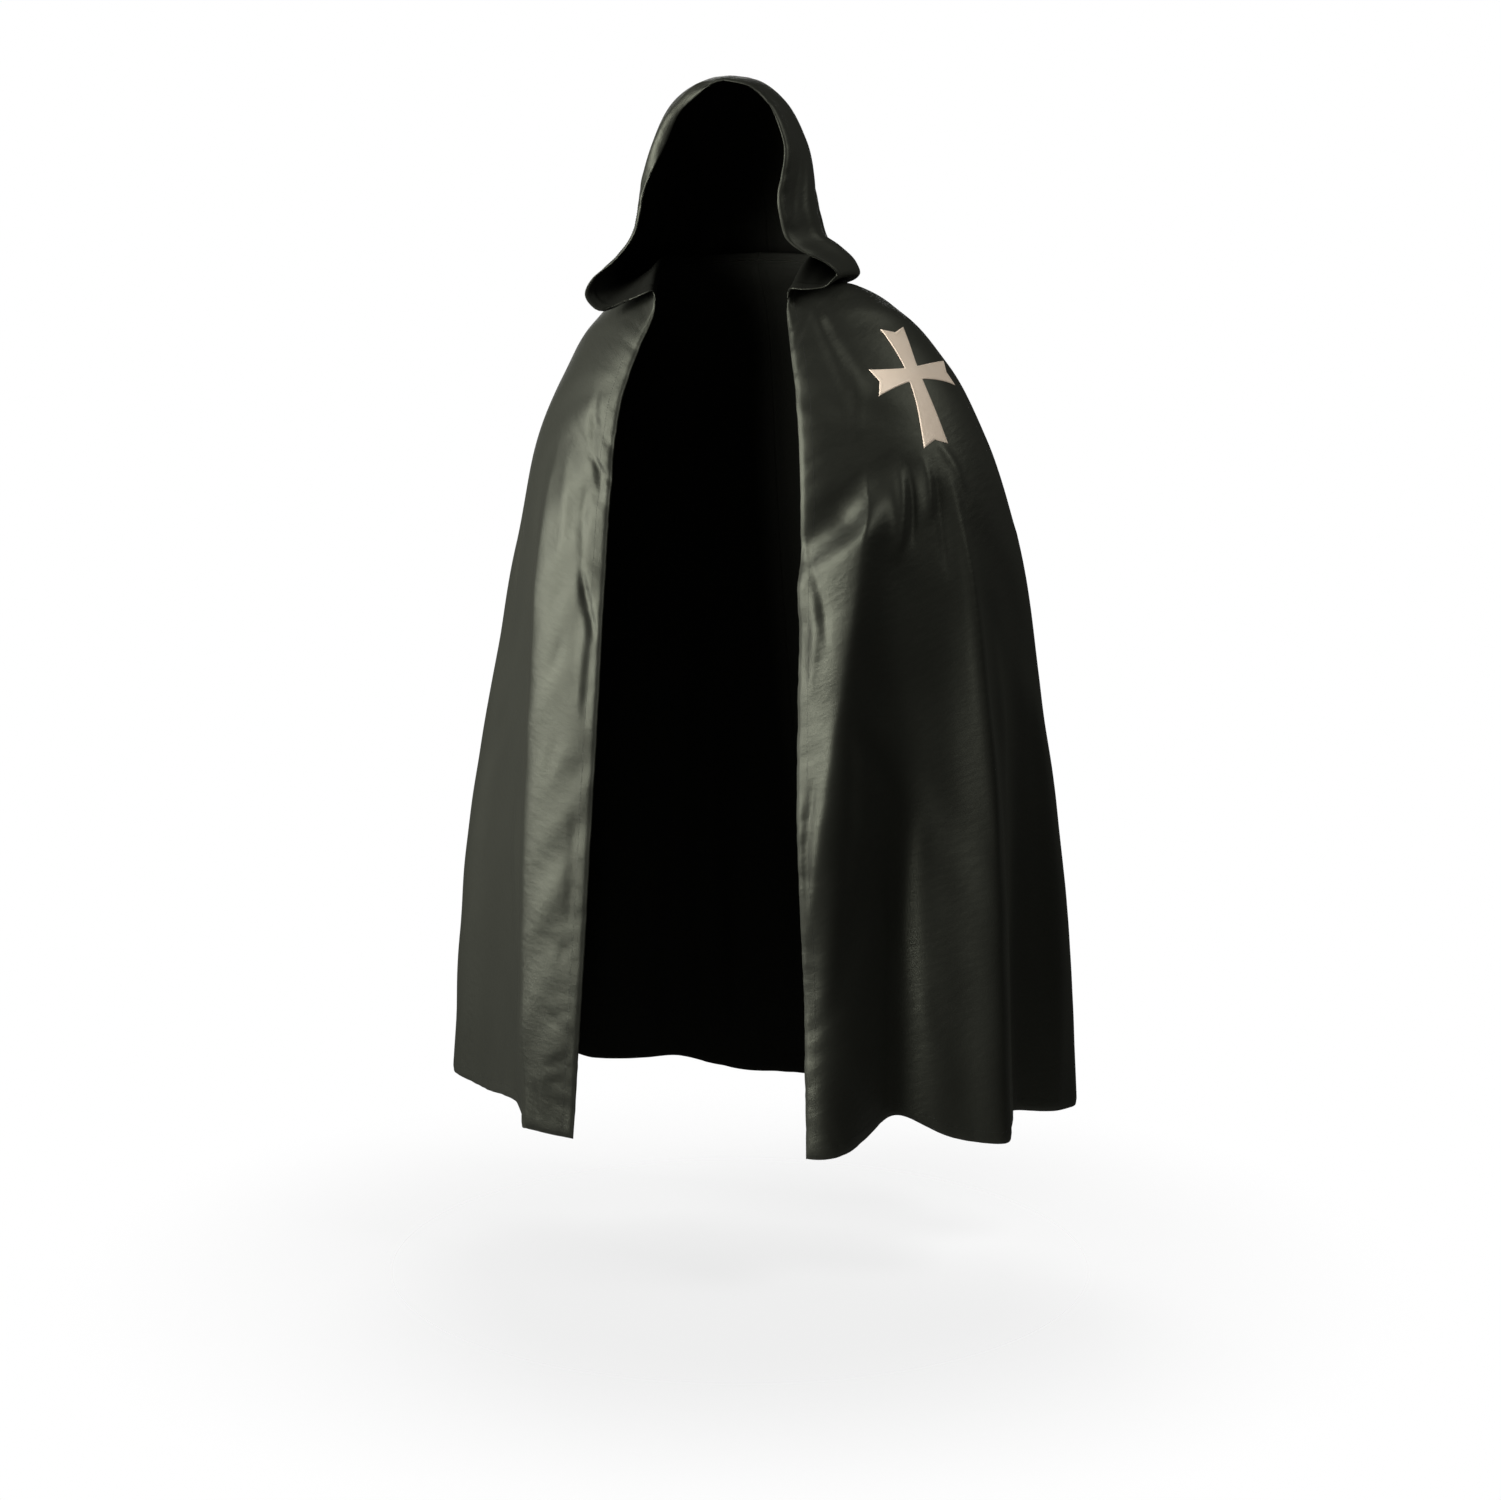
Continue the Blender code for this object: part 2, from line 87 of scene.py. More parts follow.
CAPE_RIGHT = [
    Ring(1, 0.105, -0.085, -0.055, 0.115, 0.000, 0.000, 0.085, 0.010),
    Ring(2, 0.105, -0.087, -0.065, 0.117, 0.001, -0.009, 0.088, 0.000),
    Ring(2, 0.122, -0.110, -0.125, 0.178, 0.010, -0.032, 0.116, -0.045),
    Ring(2, 0.138, -0.128, -0.185, 0.238, 0.025, -0.078, 0.138, -0.105),
    Ring(2, 0.148, -0.138, -0.245, 0.292, 0.030, -0.160, 0.152, -0.180),
    Ring(2, 0.154, -0.144, -0.330, 0.340, 0.035, -0.265, 0.166, -0.280),
    Ring(2, 0.162, -0.148, -0.465, 0.385, 0.045, -0.420, 0.190, -0.430),
    Ring(3, 0.172, -0.150, -0.640, 0.426, 0.060, -0.610, 0.228, -0.615),
    Ring(3, 0.188, -0.150, -0.880, 0.480, 0.095, -0.860, 0.290, -0.870),
    Ring(3, 0.205, -0.148, -1.130, 0.514, 0.130, -1.104, 0.340, -1.118),
    Ring(0, 0.224, -0.146, -1.345, 0.540, 0.160, -1.312, 0.370, -1.340),
]

# Long folds: place runs from 0 at the front edge to 1 at the centre back, and the other columns are shares of
# the way down. A trough's depth is negative, width is a share of the ring, and lift raises the hem. front and
# rear stretch the width on each side of the fold's line, and slant starts it lower towards the front edge.
FOLD_COLUMNS = "place_top place_hem begins full fades gone depth width sharp lift front rear slant"
Fold = namedtuple("Fold", FOLD_COLUMNS, defaults=(1.0, 1.0, 0.0))

LEFT_FOLDS = [
    Fold(0.18, -0.05, 0.215, 0.30, 0.60, 0.85, 0.040, 0.050, 1.6, 0.000, 2.0, 0.8, 0.5),
    Fold(0.05, 0.03, 0.60, 1.00, 1.10, 1.50, 0.020, 0.040, 2.0, 0.000),
    Fold(0.18, 0.15, 0.36, 0.80, 1.10, 1.50, -0.060, 0.070, 2.0, 0.045),
    Fold(0.29, 0.30, 0.22, 0.70, 1.10, 1.50, 0.035, 0.034, 2.0, 0.000),
    Fold(0.38, 0.41, 0.30, 0.90, 1.10, 1.50, -0.034, 0.040, 2.0, 0.010),
    Fold(0.50, 0.52, 0.24, 0.90, 1.10, 1.50, 0.030, 0.045, 2.0, 0.000),
    Fold(0.62, 0.62, 0.26, 1.00, 1.10, 1.50, -0.032, 0.040, 2.0, 0.008),
    Fold(0.74, 0.72, 0.12, 0.80, 1.10, 1.50, 0.030, 0.045, 2.0, 0.000),
    Fold(0.90, 0.88, 0.30, 1.00, 1.10, 1.50, -0.028, 0.045, 2.0, 0.006),
]

RIGHT_FOLDS = [
    Fold(0.19, 0.075, 0.16, 0.36, 1.10, 1.50, 0.016, 0.034, 1.5, 0.010, 3.0, 0.7),
    Fold(0.27, 0.16, 0.22, 0.80, 1.10, 1.50, -0.010, 0.046, 2.0, 0.025, 1.0, 2.0),
    Fold(0.40, 0.37, 0.30, 0.90, 1.10, 1.50, 0.022, 0.050, 2.0, 0.000),
    Fold(0.49, 0.47, 0.26, 1.00, 1.10, 1.50, -0.030, 0.045, 2.0, 0.010),
    Fold(0.58, 0.56, 0.20, 0.90, 1.10, 1.50, 0.030, 0.045, 2.0, 0.000),
    Fold(0.68, 0.67, 0.30, 1.00, 1.10, 1.50, -0.030, 0.042, 2.0, 0.008),
    Fold(0.79, 0.78, 0.14, 0.85, 1.10, 1.50, 0.028, 0.045, 2.0, 0.000),
    Fold(0.92, 0.90, 0.30, 1.00, 1.10, 1.50, -0.024, 0.040, 2.0, 0.006),
]

# A stretch of cloth that hangs straight, from a line down the cloth back to the place far. It is straighter
# from begins to full, as shares of the way down, and share is how near it comes to a straight line.
Pull = namedtuple("Pull", "place_top place_hem far begins full share")

RIGHT_PULLS = [Pull(0.20, 0.085, 0.40, 0.20, 0.42, 0.9)]

# Small creases, each along a bowed line between two places on the panel. bow, width and depth are in metres.
Crease = namedtuple("Crease", "place_a down_a place_b down_b bow width depth")
CREASE_TIP_WIDTH = 0.55
CREASE_SWELL = 0.45

LEFT_CREASES = [
    Crease(0.000, 0.020, 0.000, 0.400, 0.000, 0.055, 0.0190),
    Crease(-0.060, 0.355, 0.200, 0.215, 0.000, 0.030, -0.0110),
    Crease(0.190, 0.050, 0.110, 0.190, 0.008, 0.018, 0.0034),
    Crease(0.150, 0.030, 0.120, 0.130, 0.000, 0.015, 0.0036),
    Crease(0.200, 0.035, 0.175, 0.130, -0.004, 0.014, -0.0028),
    Crease(0.192, 0.232, 0.160, 0.330, 0.006, 0.011, 0.0060),
    Crease(0.215, 0.225, 0.195, 0.320, 0.004, 0.010, -0.0050),
    Crease(0.245, 0.228, 0.232, 0.295, 0.003, 0.010, 0.0055),
    Crease(0.285, 0.220, 0.318, 0.275, 0.003, 0.008, 0.0040),
    Crease(0.262, 0.250, 0.255, 0.360, 0.000, 0.010, -0.0040),
    Crease(0.012, 0.300, 0.050, 0.420, 0.006, 0.008, -0.0025),
    Crease(0.030, 0.350, 0.020, 0.470, 0.004, 0.010, 0.0030),
    Crease(0.030, 0.560, 0.012, 0.720, -0.005, 0.009, -0.0030),
    Crease(0.074, 0.470, 0.030, 0.840, 0.004, 0.028, 0.0130),
    Crease(0.290, 0.240, 0.297, 0.680, 0.002, 0.013, 0.0075),
    Crease(0.200, 0.620, 0.205, 0.900, -0.006, 0.020, 0.0040),
    Crease(0.340, 0.420, 0.350, 0.640, 0.008, 0.016, 0.0040),
    Crease(0.440, 0.180, 0.470, 0.330, -0.008, 0.013, -0.0050),
    Crease(0.560, 0.150, 0.560, 0.290, 0.006, 0.012, 0.0050),
    Crease(0.680, 0.090, 0.640, 0.260, -0.008, 0.013, -0.0050),
    Crease(0.830, 0.070, 0.800, 0.210, 0.008, 0.012, 0.0045),
    Crease(0.460, 0.480, 0.475, 1.040, 0.012, 0.022, 0.0090),
    Crease(0.565, 0.600, 0.575, 1.060, -0.010, 0.018, -0.0075),
    Crease(0.675, 0.380, 0.660, 1.020, 0.010, 0.024, 0.0085),
    Crease(0.805, 0.520, 0.795, 1.060, -0.012, 0.020, -0.0085),
    Crease(0.860, 0.340, 0.850, 0.760, 0.010, 0.018, 0.0060),
    Crease(0.945, 0.460, 0.940, 1.040, 0.006, 0.022, 0.0080),
]

RIGHT_CREASES = [
    Crease(0.080, 0.115, 0.038, 0.205, 0.004, 0.010, -0.0022),
    Crease(0.045, 0.195, 0.022, 0.245, -0.003, 0.007, -0.0026),
    Crease(0.058, 0.225, 0.046, 0.330, 0.003, 0.008, -0.0014),
    Crease(0.052, 0.330, 0.010, 0.415, 0.002, 0.007, -0.0048),
    Crease(0.018, 0.400, 0.020, 0.520, 0.004, 0.010, -0.0020),
    Crease(0.034, 0.360, 0.036, 0.500, -0.003, 0.009, 0.0015),
    Crease(0.080, 0.350, 0.108, 0.415, 0.003, 0.009, -0.0013),
    Crease(0.074, 0.415, 0.102, 0.470, -0.003, 0.009, -0.0013),
    Crease(0.060, 0.520, 0.085, 0.600, 0.004, 0.011, -0.0014),
    Crease(0.030, 0.600, 0.028, 0.760, -0.004, 0.011, -0.0012),
    Crease(0.010, 0.760, 0.040, 0.800, 0.004, 0.010, -0.0012),
    Crease(0.012, 0.845, 0.045, 0.868, 0.003, 0.010, -0.0013),
    Crease(0.006, 0.898, 0.056, 0.920, -0.004, 0.008, -0.0022),
    Crease(0.004, 0.925, 0.050, 0.945, 0.003, 0.009, -0.0014),
    Crease(0.066, 0.940, 0.052, 0.985, 0.003, 0.008, -0.0018),
    Crease(0.130, 0.200, 0.100, 0.330, -0.006, 0.014, 0.0020),
    Crease(0.200, 0.260, 0.112, 1.000, 0.000, 0.022, -0.0080),
    Crease(-0.090, 1.000, 0.190, 1.000, 0.000, 0.120, -0.0120),
    Crease(0.200, 0.600, 0.160, 0.820, 0.006, 0.016, 0.0035),
    Crease(0.330, 0.230, 0.330, 0.400, 0.006, 0.014, -0.0050),
    Crease(0.420, 0.160, 0.420, 0.300, -0.006, 0.013, 0.0050),
    Crease(0.530, 0.120, 0.500, 0.280, 0.006, 0.012, -0.0050),
    Crease(0.650, 0.080, 0.620, 0.240, -0.008, 0.013, 0.0050),
    Crease(0.440, 0.560, 0.425, 1.040, -0.010, 0.020, 0.0070),
    Crease(0.530, 0.440, 0.520, 1.050, 0.010, 0.019, -0.0080),
    Crease(0.625, 0.620, 0.620, 1.050, -0.008, 0.024, 0.0095),
    Crease(0.740, 0.360, 0.730, 0.980, 0.012, 0.020, -0.0075),
    Crease(0.860, 0.060, 0.840, 0.200, 0.006, 0.012, -0.0040),
    Crease(0.850, 0.500, 0.860, 1.040, -0.012, 0.024, 0.0090),
    Crease(0.950, 0.620, 0.955, 1.060, 0.006, 0.018, -0.0060),
]


def smooth_step(values, start, end):
    """0 up to start, 1 from end on, with a soft slope between."""
    share = np.clip((values - start) / (end - start), 0.0, 1.0)
    return share**2 * (3 - 2 * share)


def rows_of_rings(table, finer):
    """Every row of cloth on a smooth curve through the rings of a table, with its share of the way down."""
    rings = np.array([ring[1:] for ring in table])
    steps = np.diff(rings, axis=0)
    edge_run = np.linalg.norm(steps[:, 0:3], axis=1)
    side_run = np.linalg.norm(steps[:, 3:6], axis=1)
    back_run = np.linalg.norm(steps[:, 6:8], axis=1)
    run = np.concatenate([[0.0], np.cumsum((edge_run + side_run + back_run) / 3)])
    slopes = np.gradient(rings, run, axis=0)
    down = []
    rows = []
    for index, ring in enumerate(table[:-1]):
        length = run[index + 1] - run[index]
        for share in np.arange(ring.steps * finer) / (ring.steps * finer):
            start = (1 + 2 * share) * (1 - share) ** 2
            leave = share * (1 - share) ** 2 * length
            end = share**2 * (3 - 2 * share)
            arrive = share**2 * (share - 1) * length
            down.append(run[index] + share * length)
            rows.append(
                start * rings[index]
                + leave * slopes[index]
                + end * rings[index + 1]
                + arrive * slopes[index + 1]
            )
    down.append(run[-1])
    rows.append(rings[-1])
    return np.array(down) / run[-1], np.array(rows)


def half_ring(row, places):
    """One row of cloth from the front edge to the centre back, at even places along its length."""
    edge_x, edge_y, edge_z, side_x, side_y, side_z, back_y, back_z = row
    turn = np.linspace(0.0, np.pi / 2, RING_SAMPLES)
    front = np.stack(
        [
            edge_x + (side_x - edge_x) * np.sin(turn),
            side_y + (edge_y - side_y) * np.cos(turn),
            edge_z * np.cos(turn) ** 2 + side_z * np.sin(turn) ** 2,
        ],
        axis=1,
    )
    rear = np.stack(
        [
            side_x * np.cos(turn),
            side_y + (back_y - side_y) * np.sin(turn),
            side_z * np.cos(turn) ** 2 + back_z * np.sin(turn) ** 2,
        ],
        axis=1,
    )
    line = np.concatenate([front, rear[1:]])
    length = np.concatenate([[0.0], np.cumsum(np.linalg.norm(np.diff(line, axis=0), axis=1))])
    wanted = places * length[-1]
    return np.stack([np.interp(wanted, length, line[:, axis]) for axis in range(3)], axis=1)


def outward_normals(grid, side):
    """Unit normals of a grid of cloth, pointing out of the cape."""
    normals = side * np.cross(np.gradient(grid, axis=0), np.gradient(grid, axis=1))
    return normals / np.maximum(np.linalg.norm(normals, axis=2, keepdims=True), 1e-12)


def fold_offsets(folds, down, places):
    """How far the long folds push the cloth out, and how far they lift its hem."""
    offset = np.zeros((len(down), len(places)))
    lift = np.zeros_like(offset)
    for fold in folds:
        away = places[None, :] - fold.place_top - (fold.place_hem - fold.place_top) * down[:, None]
        growth = smooth_step(down[:, None] + fold.slant * np.minimum(away, 0.0), fold.begins, fold.full)
        growth = growth * (1 - smooth_step(down, fold.fades, fold.gone)[:, None])
        width = fold.width * np.where(away < 0, fold.front, fold.rear)
        bump = growth * np.exp(-np.abs(away / width) ** fold.sharp)
        offset += fold.depth * bump
        lift += fold.lift * bump * down[:, None] ** 2
    return offset, lift


def pull_straight(grid, pulls, down, places):
    """Move stretches of the grid, row by row, towards straight lines between their ends."""
    for pull in pulls:
        for row, share_down in enumerate(down):
            near = pull.place_top + (pull.place_hem - pull.place_top) * share_down
            share = pull.share * smooth_step(share_down, pull.begins, pull.full)
            between = (places > near) & (places < pull.far)
            along = ((places[between] - near) / (pull.far - near))[:, None]
            start = np.array([np.interp(near, places, grid[row, :, axis]) for axis in range(3)])
            end = np.array([np.interp(pull.far, places, grid[row, :, axis]) for axis in range(3)])
            straight = start + (end - start) * along
            grid[row, between] = grid[row, between] * (1 - share) + straight * share


def crease_offsets(creases, down, places, widths, length):
    """How far small creases push the cloth out: soft troughs and ridges that taper at both ends."""
    offset = np.zeros((len(down), len(places)))
    for crease in creases:
        middle = (crease.place_a + crease.place_b) / 2
        across = (places[None, :] - middle) * widths[:, None]
        below = (down[:, None] - crease.down_a) * length
        start = (crease.place_a - middle) * np.interp(crease.down_a, down, widths)
        run_across = (crease.place_b - middle) * np.interp(crease.down_b, down, widths) - start
        run_below = (crease.down_b - crease.down_a) * length
        run = np.hypot(run_across, run_below)
        along = ((across - start) * run_across + below * run_below) / run**2
        taper = np.clip(4 * along * (1 - along), 0.0, 1.0)
        beside = ((across - start) * run_below - below * run_across) / run - crease.bow * taper
        width = crease.width * (CREASE_TIP_WIDTH + CREASE_SWELL * taper)
        offset += crease.depth * taper * np.exp(-((beside / width) ** 2))
    return offset


# Each pucker draws its width and lean, and its share of the gap, depth and length, between two limits.
PUCKER_DEPTH = 0.0022
PUCKER_WIDTHS = (0.005, 0.011)
PUCKER_GAPS = (0.5, 1.8)
PUCKER_DEPTHS = (0.2, 1.0)
PUCKER_LENGTHS = (0.5, 1.5)
PUCKER_LEANS = (-0.6, 0.6)
FRONT_PUCKERS = {"spacing": 0.030, "reach": 0.045}
HEM_PUCKERS = {"spacing": 0.040, "reach": 0.035}
HEM_PUCKER_SHARE = 0.6


def edge_puckers(chance, along, inward, spacing, reach):
    """Small uneven puckers that run in from a sewn edge; along and inward are distances on the cloth."""
    offset = np.zeros(np.broadcast(along, inward).shape)
    position = 0.0
    while position < along.max():
        position += spacing * chance.uniform(*PUCKER_GAPS)
        width = chance.uniform(*PUCKER_WIDTHS)
        depth = PUCKER_DEPTH * chance.uniform(*PUCKER_DEPTHS)
        length = reach * chance.uniform(*PUCKER_LENGTHS)
        lean = chance.uniform(*PUCKER_LEANS)
        beside = (along - position - lean * inward) / width
        offset -= depth * np.exp(-(beside**2) - (inward / length) ** 2)
    return offset


WAVE_COUNT = 9
WAVES_ACROSS = (0.06, 0.16)
WAVES_DOWN = (0.25, 0.7)
WAVE_STARTS = (0.0, 6.3)


def soft_unevenness(chance, across, below, height):
    """The cloth's own slight waves, longer down than across."""
    waves = np.zeros_like(across)
    for _ in range(WAVE_COUNT):
        run_across = 2 * np.pi / chance.uniform(*WAVES_ACROSS)
        run_below = 2 * np.pi / chance.uniform(*WAVES_DOWN)
        slant = chance.choice([-1, 1])
        begin = chance.uniform(*WAVE_STARTS)
        waves += np.sin(run_across * across + run_below * below * slant + begin)
    return height * waves / np.sqrt(WAVE_COUNT)


def lengths_along(grid, axis):
    """How far each point lies along the cloth from the first row (axis 0) or the first column (axis 1)."""
    steps = np.linalg.norm(np.diff(grid, axis=axis), axis=2)
    edge = np.zeros_like(np.take(steps, [0], axis=axis))
    return np.concatenate([edge, np.cumsum(steps, axis=axis)], axis=axis)


def near_edge(distance, width):
    """1 at an edge, falling softly to 0 over about twice the width."""
    return np.exp(-((distance / width) ** 2))


def inner_skin(outer, hem_or_seam):
    """The inside of a left half: one wall in, or two where hem_or_seam is under 1 and cloth is doubled."""
    wall = CLOTH + HEM_EXTRA * (1 - smooth_step(hem_or_seam, DOUBLED_SHARE, 1.0))
    inner = outer - outward_normals(outer, 1) * wall[..., None]
    inner[:, -1, 0] = 0.0
    return inner


def put_in_scene(name, data):
    """A new object at the origin that holds a mesh, a light or a camera."""
    made = bpy.data.objects.new(name, data)
    bpy.context.scene.collection.objects.link(made)
    return made


def cloth_shell(name, outer, inner, side, flat_sizes, wear, rounded, right_side, wrong_side):
    """A thin closed shell of cloth: its outer skin, its inner skin, and a rim between them.

    rounded holds 1 for each edge that is turned in (top, back, hem, front) and 0 for each sewn one.
    """
    rows, columns = outer.shape[:2]
    wall = np.linalg.norm(outer - inner, axis=2)
    numbers = np.arange(rows * columns).reshape(rows, columns)
    edges = [
        (numbers[0, :-1], outer[0] - outer[1]),
        (numbers[:-1, -1], outer[:, -1] - outer[:, -2]),
        (numbers[-1, :0:-1], outer[-1] - outer[-2]),
        (numbers[:0:-1, 0], outer[:, 0] - outer[:, 1]),
    ]
    loop = np.concatenate([run for run, _ in edges])
    outwards = np.zeros((rows, columns, 3))
    edge_rows = (outwards[0], outwards[:, -1], outwards[-1], outwards[:, 0])
    for share, edge_row, (_, direction) in zip(rounded, edge_rows, edges):
        edge_row += share * direction / np.maximum(np.linalg.norm(direction, axis=1, keepdims=True), 1e-12)
    bulge = (outwards * wall[..., None] / 2).reshape(-1, 3)[loop]
    middle = (outer.reshape(-1, 3)[loop] + inner.reshape(-1, 3)[loop]) / 2 + bulge
    count = rows * columns
    quads = np.stack([numbers[:-1, :-1], numbers[1:, :-1], numbers[1:, 1:], numbers[:-1, 1:]], axis=-1)
    quads = quads.reshape(-1, 4)
    rim = 2 * count + np.arange(len(loop))
    onward = np.roll(np.arange(len(loop)), -1)
    outer_rim = np.stack([loop, loop[onward], rim[onward], rim], axis=1)
    inner_rim = np.stack([rim, rim[onward], loop[onward] + count, loop + count], axis=1)
    faces = np.concatenate([quads, quads[:, ::-1] + count, outer_rim, inner_rim])
    if side < 0:
        faces = faces[:, ::-1]
    points = np.concatenate([outer.reshape(-1, 3), inner.reshape(-1, 3), middle])
    mesh = bpy.data.meshes.new(name)
    mesh.from_pydata(points.tolist(), [], faces.tolist())
    mesh.shade_smooth()
    flat = flat_sizes.reshape(-1, 2)
    flat = np.concatenate([flat, flat, flat[loop]])
    layer = mesh.uv_layers.new(name="flat_cut")
    layer.data.foreach_set("uv", flat[faces.reshape(-1)].astype(np.float32).reshape(-1))
    worn = wear.reshape(-1)
    worn = np.concatenate([worn, worn, worn[loop]])
    mesh.attributes.new("wear", "FLOAT", "POINT").data.foreach_set("value", worn.astype(np.float32))
    mesh.materials.append(right_side)
    mesh.materials.append(wrong_side)
    shown = np.zeros(len(faces), np.int32)
    shown[len(quads) : 2 * len(quads)] = 1
    mesh.polygons.foreach_set("material_index", shown)
    return put_in_scene(name, mesh)


def line_along(outer, side, measure, distance):
    """Points and normals where a distance from an edge, measured along each row, is reached."""
    both = np.concatenate([outer, outward_normals(outer, side)], axis=2)
    marks = []
    for line, lengths in zip(both, measure):
        column = np.interp(distance, lengths, np.arange(len(line)))
        whole = min(int(column), len(line) - 2)
        part = column - whole
        marks.append(line[whole] * (1 - part) + line[whole + 1] * part)
    marks = np.array(marks)
    return marks[:, :3], marks[:, 3:]


STITCH_FACES = np.array(
    [(0, 3, 2), (0, 4, 3), (0, 5, 4), (0, 2, 5), (1, 2, 3), (1, 3, 4), (1, 4, 5), (1, 5, 2)]
)


def stitches(points, normals, spacing, length, thick):
    """Stitches along a line on the cloth, each a stretched bead half sunk into it."""
    run = np.concatenate([[0.0], np.cumsum(np.linalg.norm(np.diff(points, axis=0), axis=1))])
    starts = np.arange(spacing, run[-1] - spacing, spacing)

    def at(distance, values):
        return np.stack([np.interp(distance, run, values[:, axis]) for axis in range(3)], axis=1)

    head = at(starts, points)
    tail = at(starts + length, points)
    up = at(starts + length / 2, normals)
    up = up / np.linalg.norm(up, axis=1, keepdims=True)
    beside = np.cross(up, tail - head)
    beside = beside / np.linalg.norm(beside, axis=1, keepdims=True) * thick / 2
    lift = up * thick / 2
    middle = at(starts + length / 2, points) + lift / 2
    return np.stack([head, tail, middle + beside, middle + lift, middle - beside, middle - lift], axis=1)


def thread_piece(name, beads, material):
    """All the stitches of one piece of cloth, as one mesh."""
    corners = np.concatenate(beads)
    per_bead = corners.shape[1]
    faces = (STITCH_FACES[None] + per_bead * np.arange(len(corners))[:, None, None]).reshape(-1, 3)
    mesh = bpy.data.meshes.new(name)
    mesh.from_pydata(corners.reshape(-1, 3).tolist(), [], faces.tolist())
    mesh.shade_smooth()
    mesh.materials.append(material)
    return put_in_scene(name, mesh)


class Shade:
    """A socket of a material's nodes; arithmetic on it adds Math nodes."""

    def __init__(self, tree, socket=None):
        self.tree = tree
        self.socket = socket

    def node(self, kind, settings=None, inputs=None, output=0):
        """A new node: its settings are made first, then the values or links of its sockets."""
        made = self.tree.nodes.new(kind)
        for name, value in (settings or {}).items():
            setattr(made, name, value)
        for name, value in (inputs or {}).items():
            if isinstance(value, Shade):
                self.tree.links.new(value.socket, made.inputs[name])
            else:
                made.inputs[name].default_value = value
        return Shade(self.tree, made.outputs[output])

    def output(self, number):
        """Another output of the same node."""
        return Shade(self.tree, self.socket.node.outputs[number])

    def maths(self, operation, first, second=0.0):
        return self.node("ShaderNodeMath", {"operation": operation}, {0: first, 1: second})

    def __add__(self, other):
        return self.maths("ADD", self, other)

    __radd__ = __add__

    def __mul__(self, other):
        return self.maths("MULTIPLY", self, other)

    __rmul__ = __mul__

    def __sub__(self, other):
        return self.maths("SUBTRACT", self, other)

    def __rsub__(self, other):
        return self.maths("SUBTRACT", other, self)

    def feed(self, socket):
        """Link this value to a socket."""
        self.tree.links.new(self.socket, socket)


def new_finish(name):
    """A new material, its shader, and a start for its nodes."""
    material = bpy.data.materials.new(name)
    material.use_nodes = True
    return material, material.node_tree.nodes["Principled BSDF"], Shade(material.node_tree)


TWILL_PITCH = 0.0011
TWILL_ACROSS = 0.8
TWILL_DOWN = 0.6
TWILL_BLACK = (0.0066, 0.0068, 0.0056, 1.0)
TWILL_FADED = (0.0150, 0.0153, 0.0125, 1.0)
TWILL_SHINE = (0.96, 1.0, 0.76, 1.0)
SHEEN_ROUGHNESS = 0.5
WORN_FADES = 1.1
CLOUDS_FADE = 0.35
CLOUDS_ROUGHEN = 0.10
YARN_ROUGHENS = 0.06
RIB_HEIGHT = 0.35
YARN_HEIGHT = 0.9
YARN_STRETCH = (420.0, 60.0, 1.0)
CRUMPLE_STRETCH = (42.0, 84.0, 1.0)
CLOUD_SCALE = 9.0
WEAVE_BUMP = {"Strength": 0.35, "Distance": 0.00025}
CRUMPLE_BUMP = {"Strength": 0.48, "Distance": 0.0013}
DULL_AT_A_GLANCE = {"From Min": 0.28, "From Max": 0.60, "To Min": 0.0, "To Max": 0.30}


